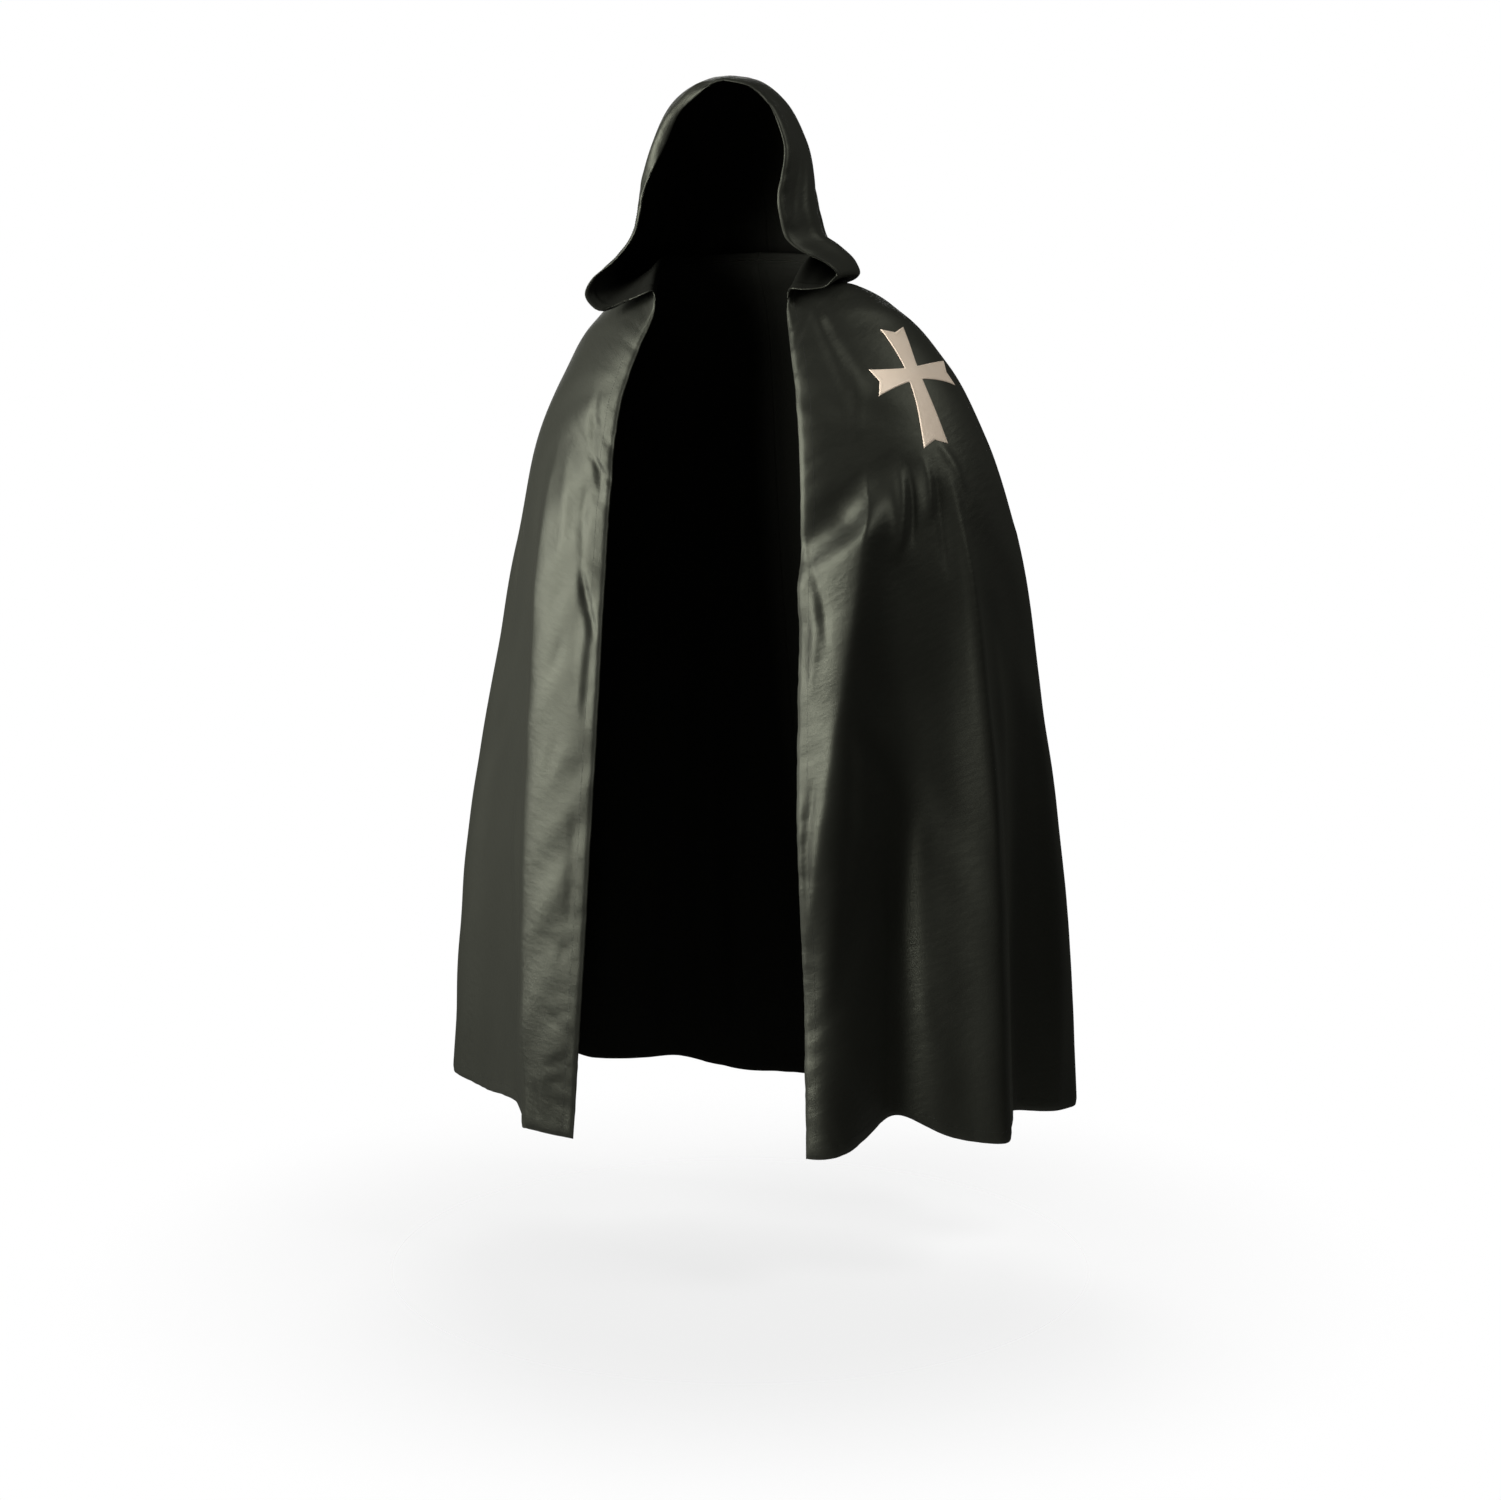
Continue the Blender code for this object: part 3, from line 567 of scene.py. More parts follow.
def twill_finish(name, roughness, shine, sheen):
    """Black twill: diagonal ribs, uneven yarn, an olive shine, duller at glancing angles, and worn edges."""
    material, shader, start = new_finish(name)
    flat = start.node("ShaderNodeUVMap", {"uv_map": "flat_cut"})
    across = start.node("ShaderNodeSeparateXYZ", None, {0: flat})
    below = across.output(1)
    ribs = start.maths("SINE", (across * TWILL_ACROSS + below * TWILL_DOWN) * (2 * np.pi / TWILL_PITCH))
    stretched = start.node("ShaderNodeMapping", None, {"Vector": flat, "Scale": YARN_STRETCH})
    yarn = start.node("ShaderNodeTexNoise", None, {"Vector": stretched, "Scale": 1.0, "Detail": 2.0})
    cloudy = start.node("ShaderNodeTexNoise", None, {"Vector": flat, "Scale": CLOUD_SCALE, "Detail": 4.0})
    wear = start.node("ShaderNodeAttribute", {"attribute_name": "wear"}, None, 2)
    faded = start.maths("MINIMUM", wear * yarn * WORN_FADES + cloudy * CLOUDS_FADE, 1.0)
    colour = start.node("ShaderNodeMix", {"data_type": "RGBA"}, {0: faded, 6: TWILL_BLACK, 7: TWILL_FADED}, 2)
    colour.feed(shader.inputs["Base Color"])
    turned_away = start.node("ShaderNodeLayerWeight", None, {"Blend": 0.5}, 1)
    smooth = {"interpolation_type": "SMOOTHSTEP"}
    duller = start.node("ShaderNodeMapRange", smooth, {"Value": turned_away, **DULL_AT_A_GLANCE})
    evenly = roughness - (CLOUDS_ROUGHEN + YARN_ROUGHENS) / 2
    rough = evenly + cloudy * CLOUDS_ROUGHEN + yarn * YARN_ROUGHENS + duller
    rough.feed(shader.inputs["Roughness"])
    slubbed = start.node("ShaderNodeMapping", None, {"Vector": flat, "Scale": CRUMPLE_STRETCH})
    crumple = start.node("ShaderNodeTexNoise", None, {"Vector": slubbed, "Scale": 1.0, "Detail": 3.0})
    soft = start.node("ShaderNodeBump", None, {"Height": crumple, **CRUMPLE_BUMP})
    height = ribs * RIB_HEIGHT + yarn * YARN_HEIGHT
    bump = start.node("ShaderNodeBump", None, {"Height": height, "Normal": soft, **WEAVE_BUMP})
    bump.feed(shader.inputs["Normal"])
    shader.inputs["Specular IOR Level"].default_value = shine
    shader.inputs["Specular Tint"].default_value = TWILL_SHINE
    shader.inputs["Sheen Weight"].default_value = sheen
    shader.inputs["Sheen Roughness"].default_value = SHEEN_ROUGHNESS
    shader.inputs["Sheen Tint"].default_value = TWILL_SHINE
    return material


THREAD_TWIST = 2600.0
TWIST_SHADE = 0.7
TWIST_ROUGHENS = 0.15
TWIST_SMOOTHER = 0.07


def thread_finish(name, colour, roughness):
    """Sewing thread: a slightly shiny twisted yarn."""
    material, shader, start = new_finish(name)
    place = start.node("ShaderNodeTexCoord", None, None, 3)
    twist = start.node("ShaderNodeTexNoise", None, {"Vector": place, "Scale": THREAD_TWIST, "Detail": 1.0})
    dark = tuple(TWIST_SHADE * part for part in colour[:3]) + (1.0,)
    mixed = start.node("ShaderNodeMix", {"data_type": "RGBA"}, {0: twist, 6: dark, 7: colour}, 2)
    mixed.feed(shader.inputs["Base Color"])
    (twist * TWIST_ROUGHENS + (roughness - TWIST_SMOOTHER)).feed(shader.inputs["Roughness"])
    return material


RIGHT_SIDE = {"roughness": 0.45, "shine": 0.4, "sheen": 0.015}
WRONG_SIDE = {"roughness": 0.85, "shine": 0.05, "sheen": 0.0}
cape_twill = twill_finish("cape_twill", **RIGHT_SIDE)
cape_twill_wrong_side = twill_finish("cape_twill_wrong_side", **WRONG_SIDE)
black_thread = thread_finish("black_thread", colour=(0.013, 0.013, 0.011, 1.0), roughness=0.45)
HEM_STITCH = {"spacing": 0.0042, "length": 0.0031, "thick": 0.0007}

for name, side, table, folds, pulls, creases, seed in (
    ("cape_right", -1, CAPE_RIGHT, RIGHT_FOLDS, RIGHT_PULLS, RIGHT_CREASES, 41),
    ("cape_left", 1, CAPE_LEFT, LEFT_FOLDS, [], LEFT_CREASES, 17),
):
    chance = np.random.default_rng(seed)
    down, rows = rows_of_rings(table, CAPE_ROWS_FINER)
    places = np.linspace(0.0, 1.0, CAPE_COLUMNS + 1) ** COLUMN_BIAS
    outer = np.stack([half_ring(row, places) for row in rows])
    pull_straight(outer, pulls, down, places)
    offset, lift = fold_offsets(folds, down, places)
    outer = outer + outward_normals(outer, 1) * offset[..., None]
    outer[..., 2] += lift
    from_front = lengths_along(outer, 1)
    from_neck = lengths_along(outer, 0)
    from_back = from_front[:, -1:] - from_front
    from_hem = from_neck[-1:] - from_neck
    from_edge = np.minimum(from_front, from_hem)
    small = crease_offsets(creases, down, places, from_front[:, -1], from_neck.mean(axis=1)[-1])
    small += edge_puckers(chance, from_neck, from_front, **FRONT_PUCKERS)
    small += HEM_PUCKER_SHARE * edge_puckers(chance, from_front, from_hem, **HEM_PUCKERS)
    small += soft_unevenness(chance, from_back, from_neck, CAPE_UNEVEN)
    small *= smooth_step(from_neck, NECK_HELD, NECK_FREE) * smooth_step(from_back, 0.0, BACK_FREE)
    for from_seam in (from_back, from_neck):
        small -= SEAM_DIP * near_edge(from_seam, SEAM_HALF_WIDTH)
    small -= EDGE_ROLL * near_edge(from_edge, EDGE_ROLL_WIDTH)
    outer = outer + outward_normals(outer, 1) * small[..., None]
    outer[:, -1, 0] = 0.0
    inner = inner_skin(outer, np.minimum(from_edge / HEM_WIDTH, np.minimum(from_back, from_neck) / ALLOWANCE))
    outer, inner = (skin * np.array([side, 1.0, 1.0]) for skin in (outer, inner))
    cape_half = cloth_shell(
        name + "_cloth",
        outer,
        inner,
        side,
        flat_sizes=np.stack([-from_back, -from_neck], axis=-1),
        wear=np.maximum(np.exp(-from_front / FRONT_WEAR), np.exp(-from_hem / HEM_WEAR)),
        rounded=(0, 0, 1, 1),
        right_side=cape_twill,
        wrong_side=cape_twill_wrong_side,
    )
    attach(cape_half, "root")
    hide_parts(name)
    front_line = line_along(outer, side, from_front, HEM_WIDTH - STITCH_FROM_FOLD)
    turned = np.swapaxes(outer[::-1], 0, 1)
    hem_line = line_along(turned, side, np.swapaxes(from_hem[::-1], 0, 1), HEM_WIDTH - STITCH_FROM_FOLD)
    cape_thread = thread_piece(
        name + "_hem_thread",
        [stitches(*front_line, **HEM_STITCH), stitches(*hem_line, **HEM_STITCH)],
        black_thread,
    )
    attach(cape_thread, "root")

left_panel = outer

# Hood halves: the same black twill, cut as two mirrored shapes and sewn together over the crown and down the
# back. The front edge is turned in and sewn, and the loose bottom rolls out over the cape and back to the
# neck seam.
HOOD_ROWS_FINER = 8
HOOD_COLUMNS = 110
HOOD_TURN = np.radians(10.0)
TURN_STARTS = 0.08
TURN_FULL = 0.18
HOOD_HEM = 0.016
HOOD_PUCKERS = {"spacing": 0.028, "reach": 0.030}
HOOD_PUCKER_SHARE = 0.5
HOOD_UNEVEN = 0.0012
CROWN_HELD = 0.004
CROWN_FREE = 0.03
HOOD_NECK_HELD = 0.01
HOOD_NECK_FREE = 0.05

HOOD_LEFT = [
    Ring(2, 0.000, -0.135, 0.262, 0.000, -0.050, 0.273, 0.030, 0.255),
    Ring(2, 0.040, -0.138, 0.250, 0.046, -0.050, 0.262, 0.082, 0.220),
    Ring(2, 0.068, -0.138, 0.222, 0.078, -0.048, 0.232, 0.105, 0.184),
    Ring(2, 0.088, -0.136, 0.172, 0.104, -0.040, 0.180, 0.116, 0.146),
    Ring(2, 0.100, -0.132, 0.125, 0.120, -0.030, 0.125, 0.121, 0.104),
    Ring(1, 0.106, -0.125, 0.065, 0.131, -0.020, 0.072, 0.124, 0.070),
    Ring(1, 0.112, -0.115, 0.032, 0.140, -0.012, 0.040, 0.127, 0.048),
    Ring(1, 0.134, -0.105, 0.012, 0.162, -0.008, 0.022, 0.135, 0.020),
    Ring(1, 0.166, -0.092, -0.004, 0.181, -0.005, 0.002, 0.142, -0.006),
    Ring(1, 0.182, -0.080, -0.022, 0.185, -0.003, -0.016, 0.140, -0.034),
    Ring(1, 0.168, -0.080, -0.036, 0.165, 0.000, -0.019, 0.124, -0.044),
    Ring(1, 0.134, -0.086, -0.042, 0.136, 0.001, -0.003, 0.102, -0.014),
    Ring(1, 0.106, -0.086, -0.044, 0.117, 0.000, 0.011, 0.088, 0.020),
    Ring(0, 0.105, -0.085, -0.055, 0.115, 0.000, 0.000, 0.085, 0.010),
]

HOOD_RIGHT = [
    Ring(2, 0.000, -0.135, 0.262, 0.000, -0.050, 0.273, 0.030, 0.255),
    Ring(2, 0.038, -0.138, 0.250, 0.050, -0.055, 0.262, 0.082, 0.220),
    Ring(2, 0.064, -0.138, 0.222, 0.092, -0.060, 0.230, 0.105, 0.184),
    Ring(2, 0.088, -0.136, 0.172, 0.120, -0.055, 0.180, 0.116, 0.146),
    Ring(2, 0.104, -0.132, 0.125, 0.128, -0.035, 0.125, 0.121, 0.104),
    Ring(1, 0.114, -0.125, 0.068, 0.134, -0.020, 0.072, 0.124, 0.070),
    Ring(1, 0.127, -0.115, 0.040, 0.146, -0.012, 0.040, 0.127, 0.048),
    Ring(1, 0.154, -0.106, 0.012, 0.166, -0.008, 0.022, 0.135, 0.020),
    Ring(1, 0.196, -0.099, -0.016, 0.185, -0.005, 0.002, 0.142, -0.006),
    Ring(1, 0.212, -0.095, -0.046, 0.189, -0.003, -0.017, 0.140, -0.034),
    Ring(1, 0.196, -0.092, -0.066, 0.167, 0.000, -0.019, 0.124, -0.044),
    Ring(1, 0.142, -0.089, -0.055, 0.136, 0.001, -0.003, 0.102, -0.014),
    Ring(1, 0.106, -0.086, -0.044, 0.117, 0.000, 0.011, 0.088, 0.020),
    Ring(0, 0.105, -0.085, -0.055, 0.115, 0.000, 0.000, 0.085, 0.010),
]

HOOD_FOLDS = [
    Fold(0.30, 0.22, 0.30, 0.50, 0.60, 0.80, 0.006, 0.070, 2.0, 0.0),
    Fold(0.50, 0.45, 0.25, 0.50, 0.60, 0.80, -0.008, 0.080, 2.0, 0.0),
    Fold(0.72, 0.66, 0.20, 0.50, 0.60, 0.80, 0.007, 0.080, 2.0, 0.0),
]

HOOD_CREASES = [
    Crease(0.150, 0.300, 0.080, 0.560, 0.006, 0.009, -0.0025),
    Crease(0.240, 0.380, 0.200, 0.640, -0.005, 0.009, 0.0030),
    Crease(0.330, 0.420, 0.360, 0.660, 0.006, 0.008, -0.0035),
    Crease(0.470, 0.400, 0.430, 0.680, -0.006, 0.010, 0.0035),
    Crease(0.560, 0.460, 0.590, 0.690, 0.006, 0.009, -0.0035),
    Crease(0.700, 0.380, 0.660, 0.660, 0.005, 0.010, 0.0030),
    Crease(0.820, 0.420, 0.800, 0.680, -0.005, 0.009, -0.0030),
    Crease(0.900, 0.250, 0.860, 0.500, 0.004, 0.009, 0.0025),
]

HOOD_RIGHT_CREASES = [
    Crease(0.085, 0.030, 0.075, 0.470, 0.000, 0.015, 0.0105),
    Crease(0.000, 0.020, 0.000, 0.470, 0.000, 0.045, -0.0160),
]


def turned_left(skin):
    """The points of a hood half, turned a little to the left above the neck."""
    angle = HOOD_TURN * smooth_step(skin[..., 2], TURN_STARTS, TURN_FULL)
    across = skin[..., 0] * np.cos(angle) - skin[..., 1] * np.sin(angle)
    ahead = skin[..., 0] * np.sin(angle) + skin[..., 1] * np.cos(angle)
    return np.stack([across, ahead, skin[..., 2]], axis=-1)


hood_twill = twill_finish("hood_twill", **RIGHT_SIDE)
hood_twill_wrong_side = twill_finish("hood_twill_wrong_side", **WRONG_SIDE)

for name, side, table, creases, seed in (
    ("hood_right", -1, HOOD_RIGHT, HOOD_CREASES + HOOD_RIGHT_CREASES, 5),
    ("hood_left", 1, HOOD_LEFT, HOOD_CREASES, 29),
):
    chance = np.random.default_rng(seed)
    down, rows = rows_of_rings(table, HOOD_ROWS_FINER)
    places = np.linspace(0.0, 1.0, HOOD_COLUMNS + 1) ** COLUMN_BIAS
    outer = np.stack([half_ring(row, places) for row in rows])
    offset, _ = fold_offsets(HOOD_FOLDS, down, places)
    outer = outer + outward_normals(outer, 1) * offset[..., None]
    from_front = lengths_along(outer, 1)
    from_crown = lengths_along(outer, 0)
    from_back = from_front[:, -1:] - from_front
    from_neck = from_crown[-1:] - from_crown
    small = crease_offsets(creases, down, places, from_front[:, -1], from_crown.mean(axis=1)[-1])
    small += HOOD_PUCKER_SHARE * edge_puckers(chance, from_crown, from_front, **HOOD_PUCKERS)
    small += soft_unevenness(chance, from_back, from_crown, HOOD_UNEVEN)
    free_of_crown = smooth_step(from_crown, CROWN_HELD, CROWN_FREE)
    small *= free_of_crown * smooth_step(from_neck, HOOD_NECK_HELD, HOOD_NECK_FREE)
    small *= smooth_step(from_back, 0.0, BACK_FREE)
    for from_seam in (from_back, from_crown, from_neck):
        small -= SEAM_DIP * near_edge(from_seam, SEAM_HALF_WIDTH)
    small -= EDGE_ROLL * near_edge(from_front, EDGE_ROLL_WIDTH)
    outer = outer + outward_normals(outer, 1) * small[..., None]
    from_any_seam = np.minimum(np.minimum(from_back, from_crown), from_neck)
    inner = inner_skin(outer, np.minimum(from_front / HOOD_HEM, from_any_seam / ALLOWANCE))
    for skin in (outer, inner):
        skin[:, -1, 0] = 0.0
        skin[0, :, 0] = 0.0
    outer, inner = (turned_left(skin * np.array([side, 1.0, 1.0])) for skin in (outer, inner))
    hood_half = cloth_shell(
        name + "_cloth",
        outer,
        inner,
        side,
        flat_sizes=np.stack([-from_back, -from_crown], axis=-1),
        wear=np.exp(-from_front / FRONT_WEAR),
        rounded=(0, 0, 0, 1),
        right_side=hood_twill,
        wrong_side=hood_twill_wrong_side,
    )
    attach(hood_half, "root")
    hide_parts(name)
    front_line = line_along(outer, side, from_front, HOOD_HEM - STITCH_FROM_FOLD)
    hood_thread = thread_piece(name + "_hem_thread", [stitches(*front_line, **HEM_STITCH)], black_thread)
    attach(hood_thread, "root")

# Cross: off-white cotton with flared, notched arms, laid flat high on the side of the cape's left half and
# sewn down close to its edge with thread of the same colour.
CROSS_DOWN = 0.305
CROSS_PLACE = 0.385
CROSS_LIFT = 0.0003
CROSS_CLOTH = 0.0005
CROSS_WAIST = 0.0112
CROSS_FLARE = 0.0215
CROSS_CURVE = 1.35
CROSS_NOTCH = 0.009
CROSS_STEPS_ALONG = 28
CROSS_STEPS_ACROSS = 12
CROSS_TILT = np.radians(12.5)
CROSS_STITCH_IN = 0.0024
CROSS_STITCH = {"spacing": 0.0030, "length": 0.0022, "thick": 0.0006}
SAME_PLACE_DIGITS = 6
WALK_STEPS = 40
WALK_REACH = 2.5
COTTON_WHITE = (0.88, 0.75, 0.60, 1.0)
COTTON_SHADE = (0.80, 0.65, 0.50, 1.0)
COTTON_PITCH = 0.0009
COTTON_CLOUDS = 38.0
COTTON_ROUGHNESS = 0.78
COTTON_CLOUDS_ROUGHEN = 0.12
COTTON_BUMP = {"Strength": 0.3, "Distance": 0.0002}
COTTON_SHINE = 0.25

# The arms up, out, down and in: each arm's length from the middle, and which way it points, across and down.
CrossArm = namedtuple("CrossArm", "length across down")
CROSS_ARMS = [CrossArm(0.080, 0, -1), CrossArm(0.078, 1, 0), CrossArm(0.112, 0, 1), CrossArm(0.066, -1, 0)]

panel_normals = outward_normals(left_panel, 1)


def on_panel(grid, row, column):
    """The value of a panel's grid at a fractional row and column."""
    top = min(max(int(row), 0), grid.shape[0] - 2)
    left = min(max(int(column), 0), grid.shape[1] - 2)
    below = row - top
    beside = column - left
    upper = grid[top, left] * (1 - beside) + grid[top, left + 1] * beside
    lower = grid[top + 1, left] * (1 - beside) + grid[top + 1, left + 1] * beside
    return upper * (1 - below) + lower * below


def walk_on_panel(grid, across, down):
    """Row and column reached from the cross's centre by going straight on over the cloth."""
    row = CROSS_DOWN * (grid.shape[0] - 1)
    column = CROSS_PLACE * (grid.shape[1] - 1)
    length = np.hypot(across, down)
    heading = None
    for _ in range(WALK_STEPS if length > 0 else 0):
        along_row = on_panel(grid, row, column + WALK_REACH) - on_panel(grid, row, column - WALK_REACH)
        along_column = on_panel(grid, row + WALK_REACH, column) - on_panel(grid, row - WALK_REACH, column)
        normal = np.cross(along_column, along_row)
        normal = normal / np.linalg.norm(normal)
        if heading is None:
            downward = along_column / np.linalg.norm(along_column)
            sideways = np.cross(normal, downward)
            heading = across * (sideways * np.cos(CROSS_TILT) + downward * np.sin(CROSS_TILT))
            heading = heading + down * (downward * np.cos(CROSS_TILT) - sideways * np.sin(CROSS_TILT))
        heading = heading - normal * (heading @ normal)
        step = heading / np.linalg.norm(heading) * length / WALK_STEPS
        moves = np.stack([along_row, along_column], axis=1) / (2 * WALK_REACH)
        column_move, row_move = np.linalg.lstsq(moves, step, rcond=None)[0]
        row += row_move
        column += column_move
    return row, column


def laid_on_panel(flat_points):
    """Points of the left half and their normals, for points measured flat from the cross's centre."""
    marks = [walk_on_panel(left_panel, across, down) for across, down in flat_points]
    points = np.array([on_panel(left_panel, *mark) for mark in marks])
    normals = np.array([on_panel(panel_normals, *mark) for mark in marks])
    return points, normals


def arm_half_width(share):
    """Half the width of an arm, at a share of the way from the cross's waist to the arm's end."""
    return CROSS_WAIST + (CROSS_FLARE - CROSS_WAIST) * share**CROSS_CURVE


def on_arm(arm, ahead, beside):
    """The flat place that lies ahead along an arm and beside its middle line."""
    return ahead * arm.across - beside * arm.down, ahead * arm.down + beside * arm.across


cross_points = []
cross_faces = []
cross_places = {}


def cross_point(across, down):
    """The number of a point of the cross, given once for each place."""
    key = (round(across, SAME_PLACE_DIGITS), round(down, SAME_PLACE_DIGITS))
    if key not in cross_places:
        cross_places[key] = len(cross_points)
        cross_points.append((across, down))
    return cross_places[key]


shares = np.linspace(-1.0, 1.0, CROSS_STEPS_ACROSS + 1)
blocks = [[[cross_point(CROSS_WAIST * beside, CROSS_WAIST * down) for beside in shares] for down in shares]]
stitch_line = []
for arm in CROSS_ARMS:
    side_run = np.linspace(0.0, 1.0, CROSS_STEPS_ALONG // 2)
    side_half = arm_half_width(side_run) - CROSS_STITCH_IN
    side_ahead = CROSS_WAIST - CROSS_STITCH_IN + side_run * (arm.length - CROSS_WAIST - CROSS_STITCH_IN)
    end_half = side_half[-1] * shares[1:-1]
    end_ahead = side_ahead[-1] - CROSS_NOTCH * (1 - np.abs(shares[1:-1]))
    line_half = np.concatenate([-side_half, end_half, side_half[::-1]])
    line_ahead = np.concatenate([side_ahead, end_ahead, side_ahead[::-1]])
    stitch_line += [on_arm(arm, ahead, half_width) for half_width, ahead in zip(line_half, line_ahead)]
    block = []
    for share in np.linspace(0.0, 1.0, CROSS_STEPS_ALONG + 1):
        line = []
        for beside in shares:
            reach = arm.length - CROSS_WAIST - CROSS_NOTCH * (1 - abs(beside))
            ahead = CROSS_WAIST + share * reach
            line.append(cross_point(*on_arm(arm, ahead, arm_half_width(share) * beside)))
        block.append(line)
    blocks.append(block)
for block in blocks:
    for upper, lower in zip(block[:-1], block[1:]):
        for beside in range(CROSS_STEPS_ACROSS):
            cross_faces.append((upper[beside], lower[beside], lower[beside + 1], upper[beside + 1]))

cross_base, cross_away = laid_on_panel(cross_points)
mesh = bpy.data.meshes.new("arm_cross_cloth")
mesh.from_pydata((cross_base + cross_away * CROSS_LIFT).tolist(), [], cross_faces)
flat_layer = mesh.uv_layers.new(name="flat_cut")
corner_points = np.array([loop.vertex_index for loop in mesh.loops])
flat_layer.data.foreach_set("uv", np.array(cross_points)[corner_points].astype(np.float32).reshape(-1))
mesh.shade_smooth()
arm_cross = put_in_scene("arm_cross_cloth", mesh)
bpy.ops.object.select_all(action="DESELECT")
bpy.context.view_layer.objects.active = arm_cross
arm_cross.select_set(True)
bpy.ops.object.mode_set(mode="EDIT")
bpy.ops.mesh.select_all(action="SELECT")
bpy.ops.mesh.normals_make_consistent(inside=False)
bpy.ops.object.mode_set(mode="OBJECT")
first_face = arm_cross.data.polygons[0]
if first_face.normal.dot(cross_away[0].tolist()) < 0:
    arm_cross.data.flip_normals()
thicken = arm_cross.modifiers.new("cloth", "SOLIDIFY")
thicken.thickness = CROSS_CLOTH
thicken.offset = 1.0
bpy.ops.object.modifier_apply(modifier=thicken.name)

cotton, cotton_shader, start = new_finish("cross_cotton")
flat = start.node("ShaderNodeUVMap", {"uv_map": "flat_cut"})
across = start.node("ShaderNodeSeparateXYZ", None, {0: flat})
below = across.output(1)
threads = 2 * np.pi / COTTON_PITCH
weave = start.maths("SINE", across * threads) * start.maths("SINE", below * threads)
cloudy = start.node("ShaderNodeTexNoise", None, {"Vector": flat, "Scale": COTTON_CLOUDS, "Detail": 4.0})
tone = start.node("ShaderNodeMix", {"data_type": "RGBA"}, {0: cloudy, 6: COTTON_SHADE, 7: COTTON_WHITE}, 2)
tone.feed(cotton_shader.inputs["Base Color"])
(COTTON_ROUGHNESS + cloudy * COTTON_CLOUDS_ROUGHEN).feed(cotton_shader.inputs["Roughness"])
raised = start.node("ShaderNodeBump", None, {"Height": weave, **COTTON_BUMP})
raised.feed(cotton_shader.inputs["Normal"])
cotton_shader.inputs["Specular IOR Level"].default_value = COTTON_SHINE
arm_cross.data.materials.append(cotton)
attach(arm_cross, "root")
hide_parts("shoulder_cross")
stitch_base, stitch_away = laid_on_panel(stitch_line)
stitch_base = stitch_base + stitch_away * (CROSS_LIFT + CROSS_CLOTH)
cross_thread = thread_piece(
    "arm_cross_thread",
    [stitches(stitch_base, stitch_away, **CROSS_STITCH)],
    thread_finish("cream_thread", colour=(0.74, 0.64, 0.52, 1.0), roughness=0.5),
)
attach(cross_thread, "root")

# Studio: a plain pale floor below the hem that fades out round the cape, three large soft lights, at the
# front right, at the left side and behind, a little even light all round, and the camera at the photograph's
# angle.
FLOOR_LEVEL = -1.55
FLOOR_RADIUS = 6.0
FLOOR_SIDES = 96
FLOOR_FADE = {"From Min": 0.4, "From Max": 1.1, "To Min": 0.7}
PAPER_WHITE = (0.92, 0.92, 0.92, 1.0)
PAPER_ROUGHNESS = 0.9
WHITE = (1.0, 1.0, 1.0, 1.0)
EVEN_LIGHT = 0.07
CAMERA_AZIMUTH = np.radians(20.0)
CAMERA_DISTANCE = 4.2
CAMERA_LEVEL = -0.16
CAMERA_TILT = np.radians(7.84)
SENSOR_WIDTH = 36.0
IMAGE_WIDTH = 1501
FOCAL_PIXELS = 2745.0
AXIS_PIXEL = 740.0

bpy.ops.object.select_all(action="DESELECT")
bpy.ops.mesh.primitive_circle_add(
    vertices=FLOOR_SIDES, radius=FLOOR_RADIUS, fill_type="NGON", location=(0.0, 0.0, FLOOR_LEVEL)
)
floor = bpy.context.object
floor.name = "studio_floor"
bpy.ops.object.transform_apply(location=True, rotation=False, scale=False)
paper, paper_shader, start = new_finish("studio_paper")
paper_shader.inputs["Base Color"].default_value = PAPER_WHITE
paper_shader.inputs["Roughness"].default_value = PAPER_ROUGHNESS
place = start.node("ShaderNodeTexCoord", None, None, 3)
level = start.node("ShaderNodeVectorMath", {"operation": "MULTIPLY"}, {0: place, 1: (1.0, 1.0, 0.0)})
reach = start.node("ShaderNodeVectorMath", {"operation": "LENGTH"}, {0: level}, 1)
fade = start.node("ShaderNodeMapRange", {"interpolation_type": "SMOOTHSTEP"}, {"Value": reach, **FLOOR_FADE})
plain = Shade(paper.node_tree, paper_shader.outputs[0])
clear = start.node("ShaderNodeBsdfTransparent")
mixed = start.node("ShaderNodeMixShader", None, {0: fade, 1: plain, 2: clear})
mixed.feed(paper.node_tree.nodes["Material Output"].inputs["Surface"])
floor.data.materials.append(paper)


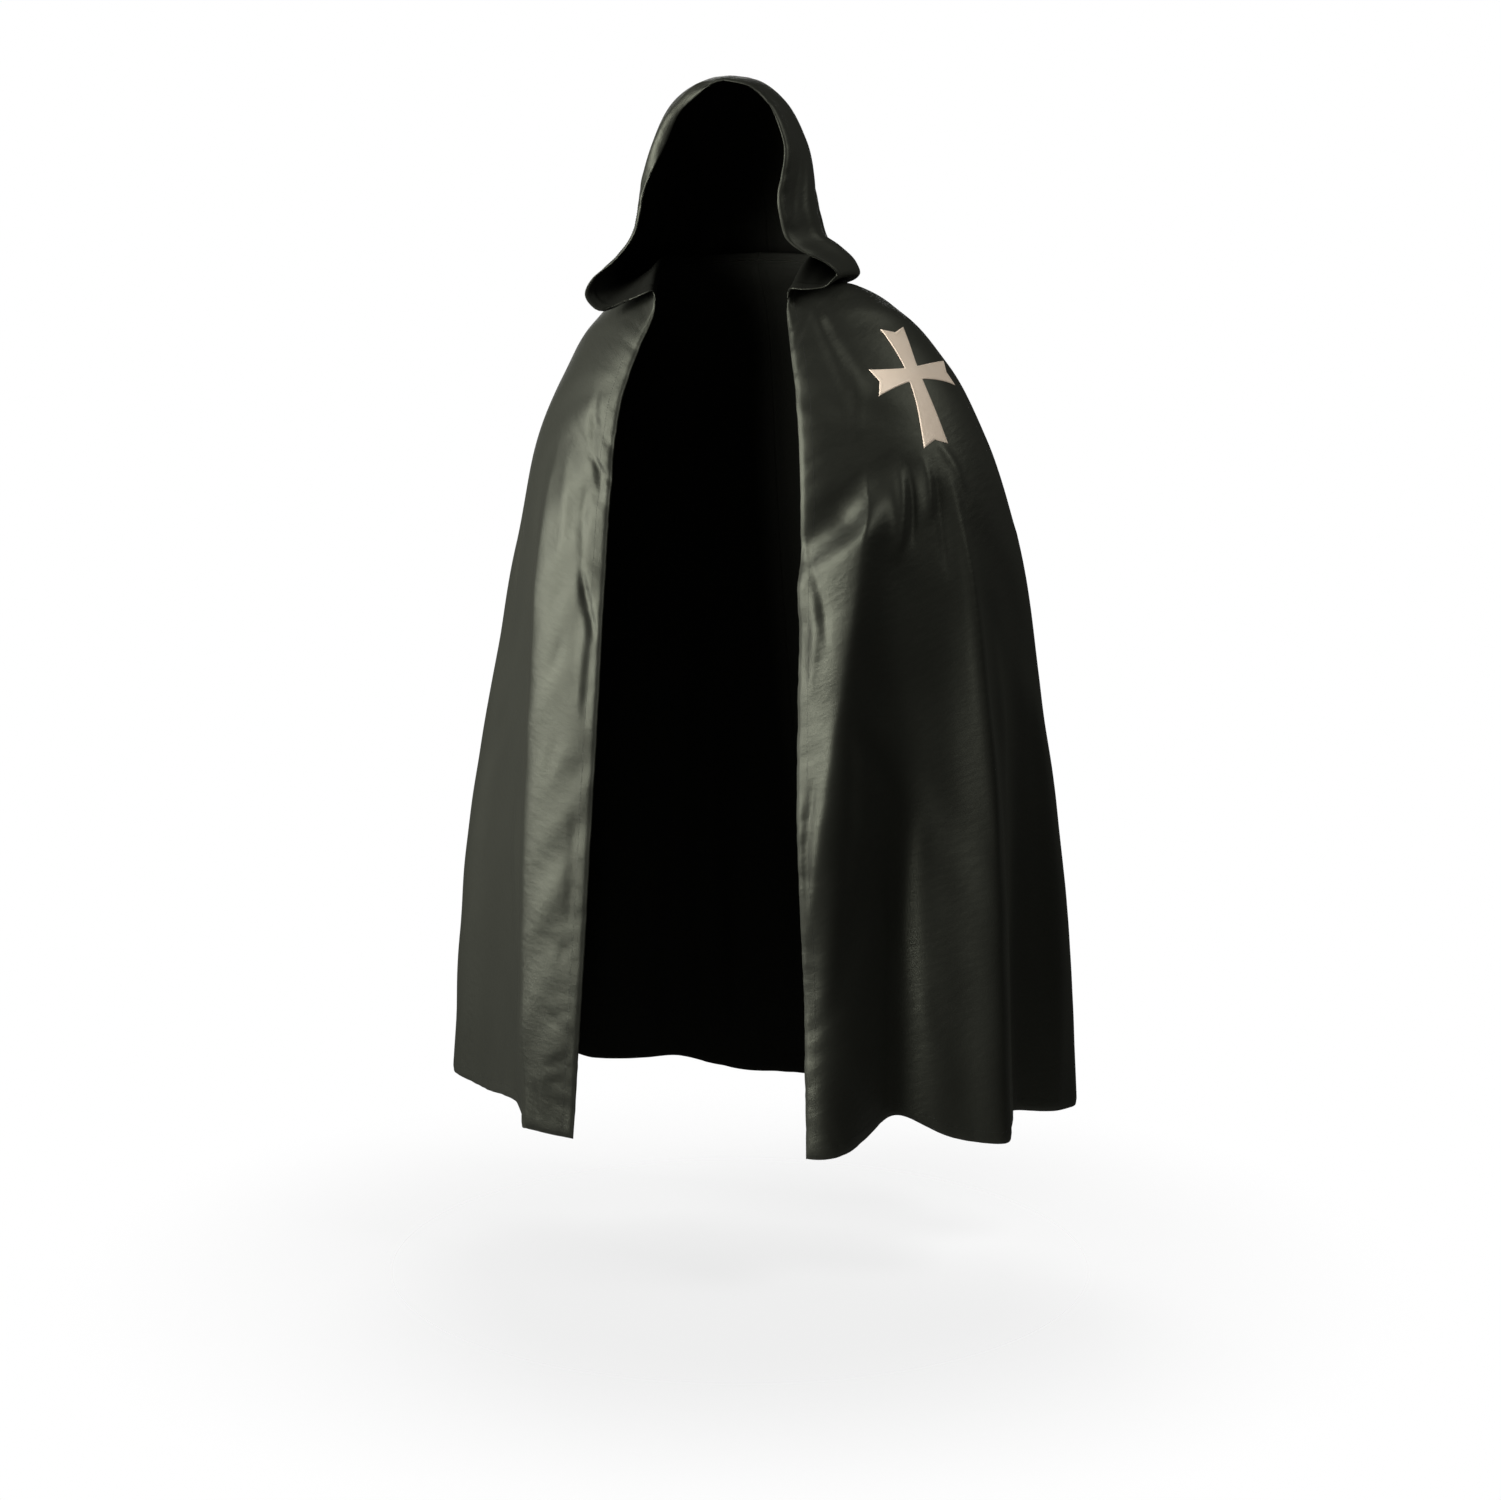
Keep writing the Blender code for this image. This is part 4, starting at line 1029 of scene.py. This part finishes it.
def stand_round(thing, bearing, distance, level, tilt):
    """Put a light or the camera at a bearing from the front, towards the left, facing the cape's axis."""
    thing.location = (distance * np.sin(bearing), -distance * np.cos(bearing), level)
    thing.rotation_euler = (np.pi / 2 - tilt, 0.0, bearing)


def soft_light(name, azimuth, distance, level, aim_level, size, power, spread):
    """A large square light that looks at the cape's axis at aim_level; angles are in degrees."""
    data = bpy.data.lights.new(name, "AREA")
    data.shape = "SQUARE"
    data.size = size
    data.energy = power
    data.spread = np.radians(spread)
    tilt = np.arctan2(level - aim_level, distance)
    stand_round(put_in_scene(name, data), np.radians(azimuth), distance, level, tilt)


soft_light(
    "key_light", azimuth=-42.0, distance=3.2, level=0.05, aim_level=-0.28, size=2.4, power=53.0, spread=65.0
)
soft_light(
    "side_light", azimuth=84.0, distance=2.4, level=1.60, aim_level=-0.20, size=1.2, power=33.0, spread=180.0
)
soft_light(
    "back_light", azimuth=205.0, distance=3.4, level=0.90, aim_level=-0.55, size=2.0, power=42.0, spread=120.0
)

world = bpy.data.worlds.new("studio")
world.use_nodes = True
nodes = world.node_tree.nodes
around = nodes["Background"]
around.inputs["Color"].default_value = WHITE
around.inputs["Strength"].default_value = EVEN_LIGHT
start = Shade(world.node_tree)
lighting = Shade(world.node_tree, around.outputs[0])
seen = start.node("ShaderNodeBackground", None, {"Color": WHITE, "Strength": 1.0})
path = start.node("ShaderNodeLightPath")
both = start.node("ShaderNodeMixShader", None, {0: path, 1: lighting, 2: seen})
both.feed(nodes["World Output"].inputs["Surface"])
bpy.context.scene.world = world
bpy.context.scene.view_settings.view_transform = "Standard"

camera_data = bpy.data.cameras.new("photo_camera")
camera_data.sensor_width = SENSOR_WIDTH
camera_data.lens = FOCAL_PIXELS / IMAGE_WIDTH * SENSOR_WIDTH
camera_data.shift_x = (IMAGE_WIDTH / 2 - AXIS_PIXEL) / IMAGE_WIDTH
camera = put_in_scene("photo_camera", camera_data)
stand_round(camera, CAMERA_AZIMUTH, CAMERA_DISTANCE, CAMERA_LEVEL, CAMERA_TILT)
bpy.context.scene.camera = camera

bpy.context.view_layer.update()
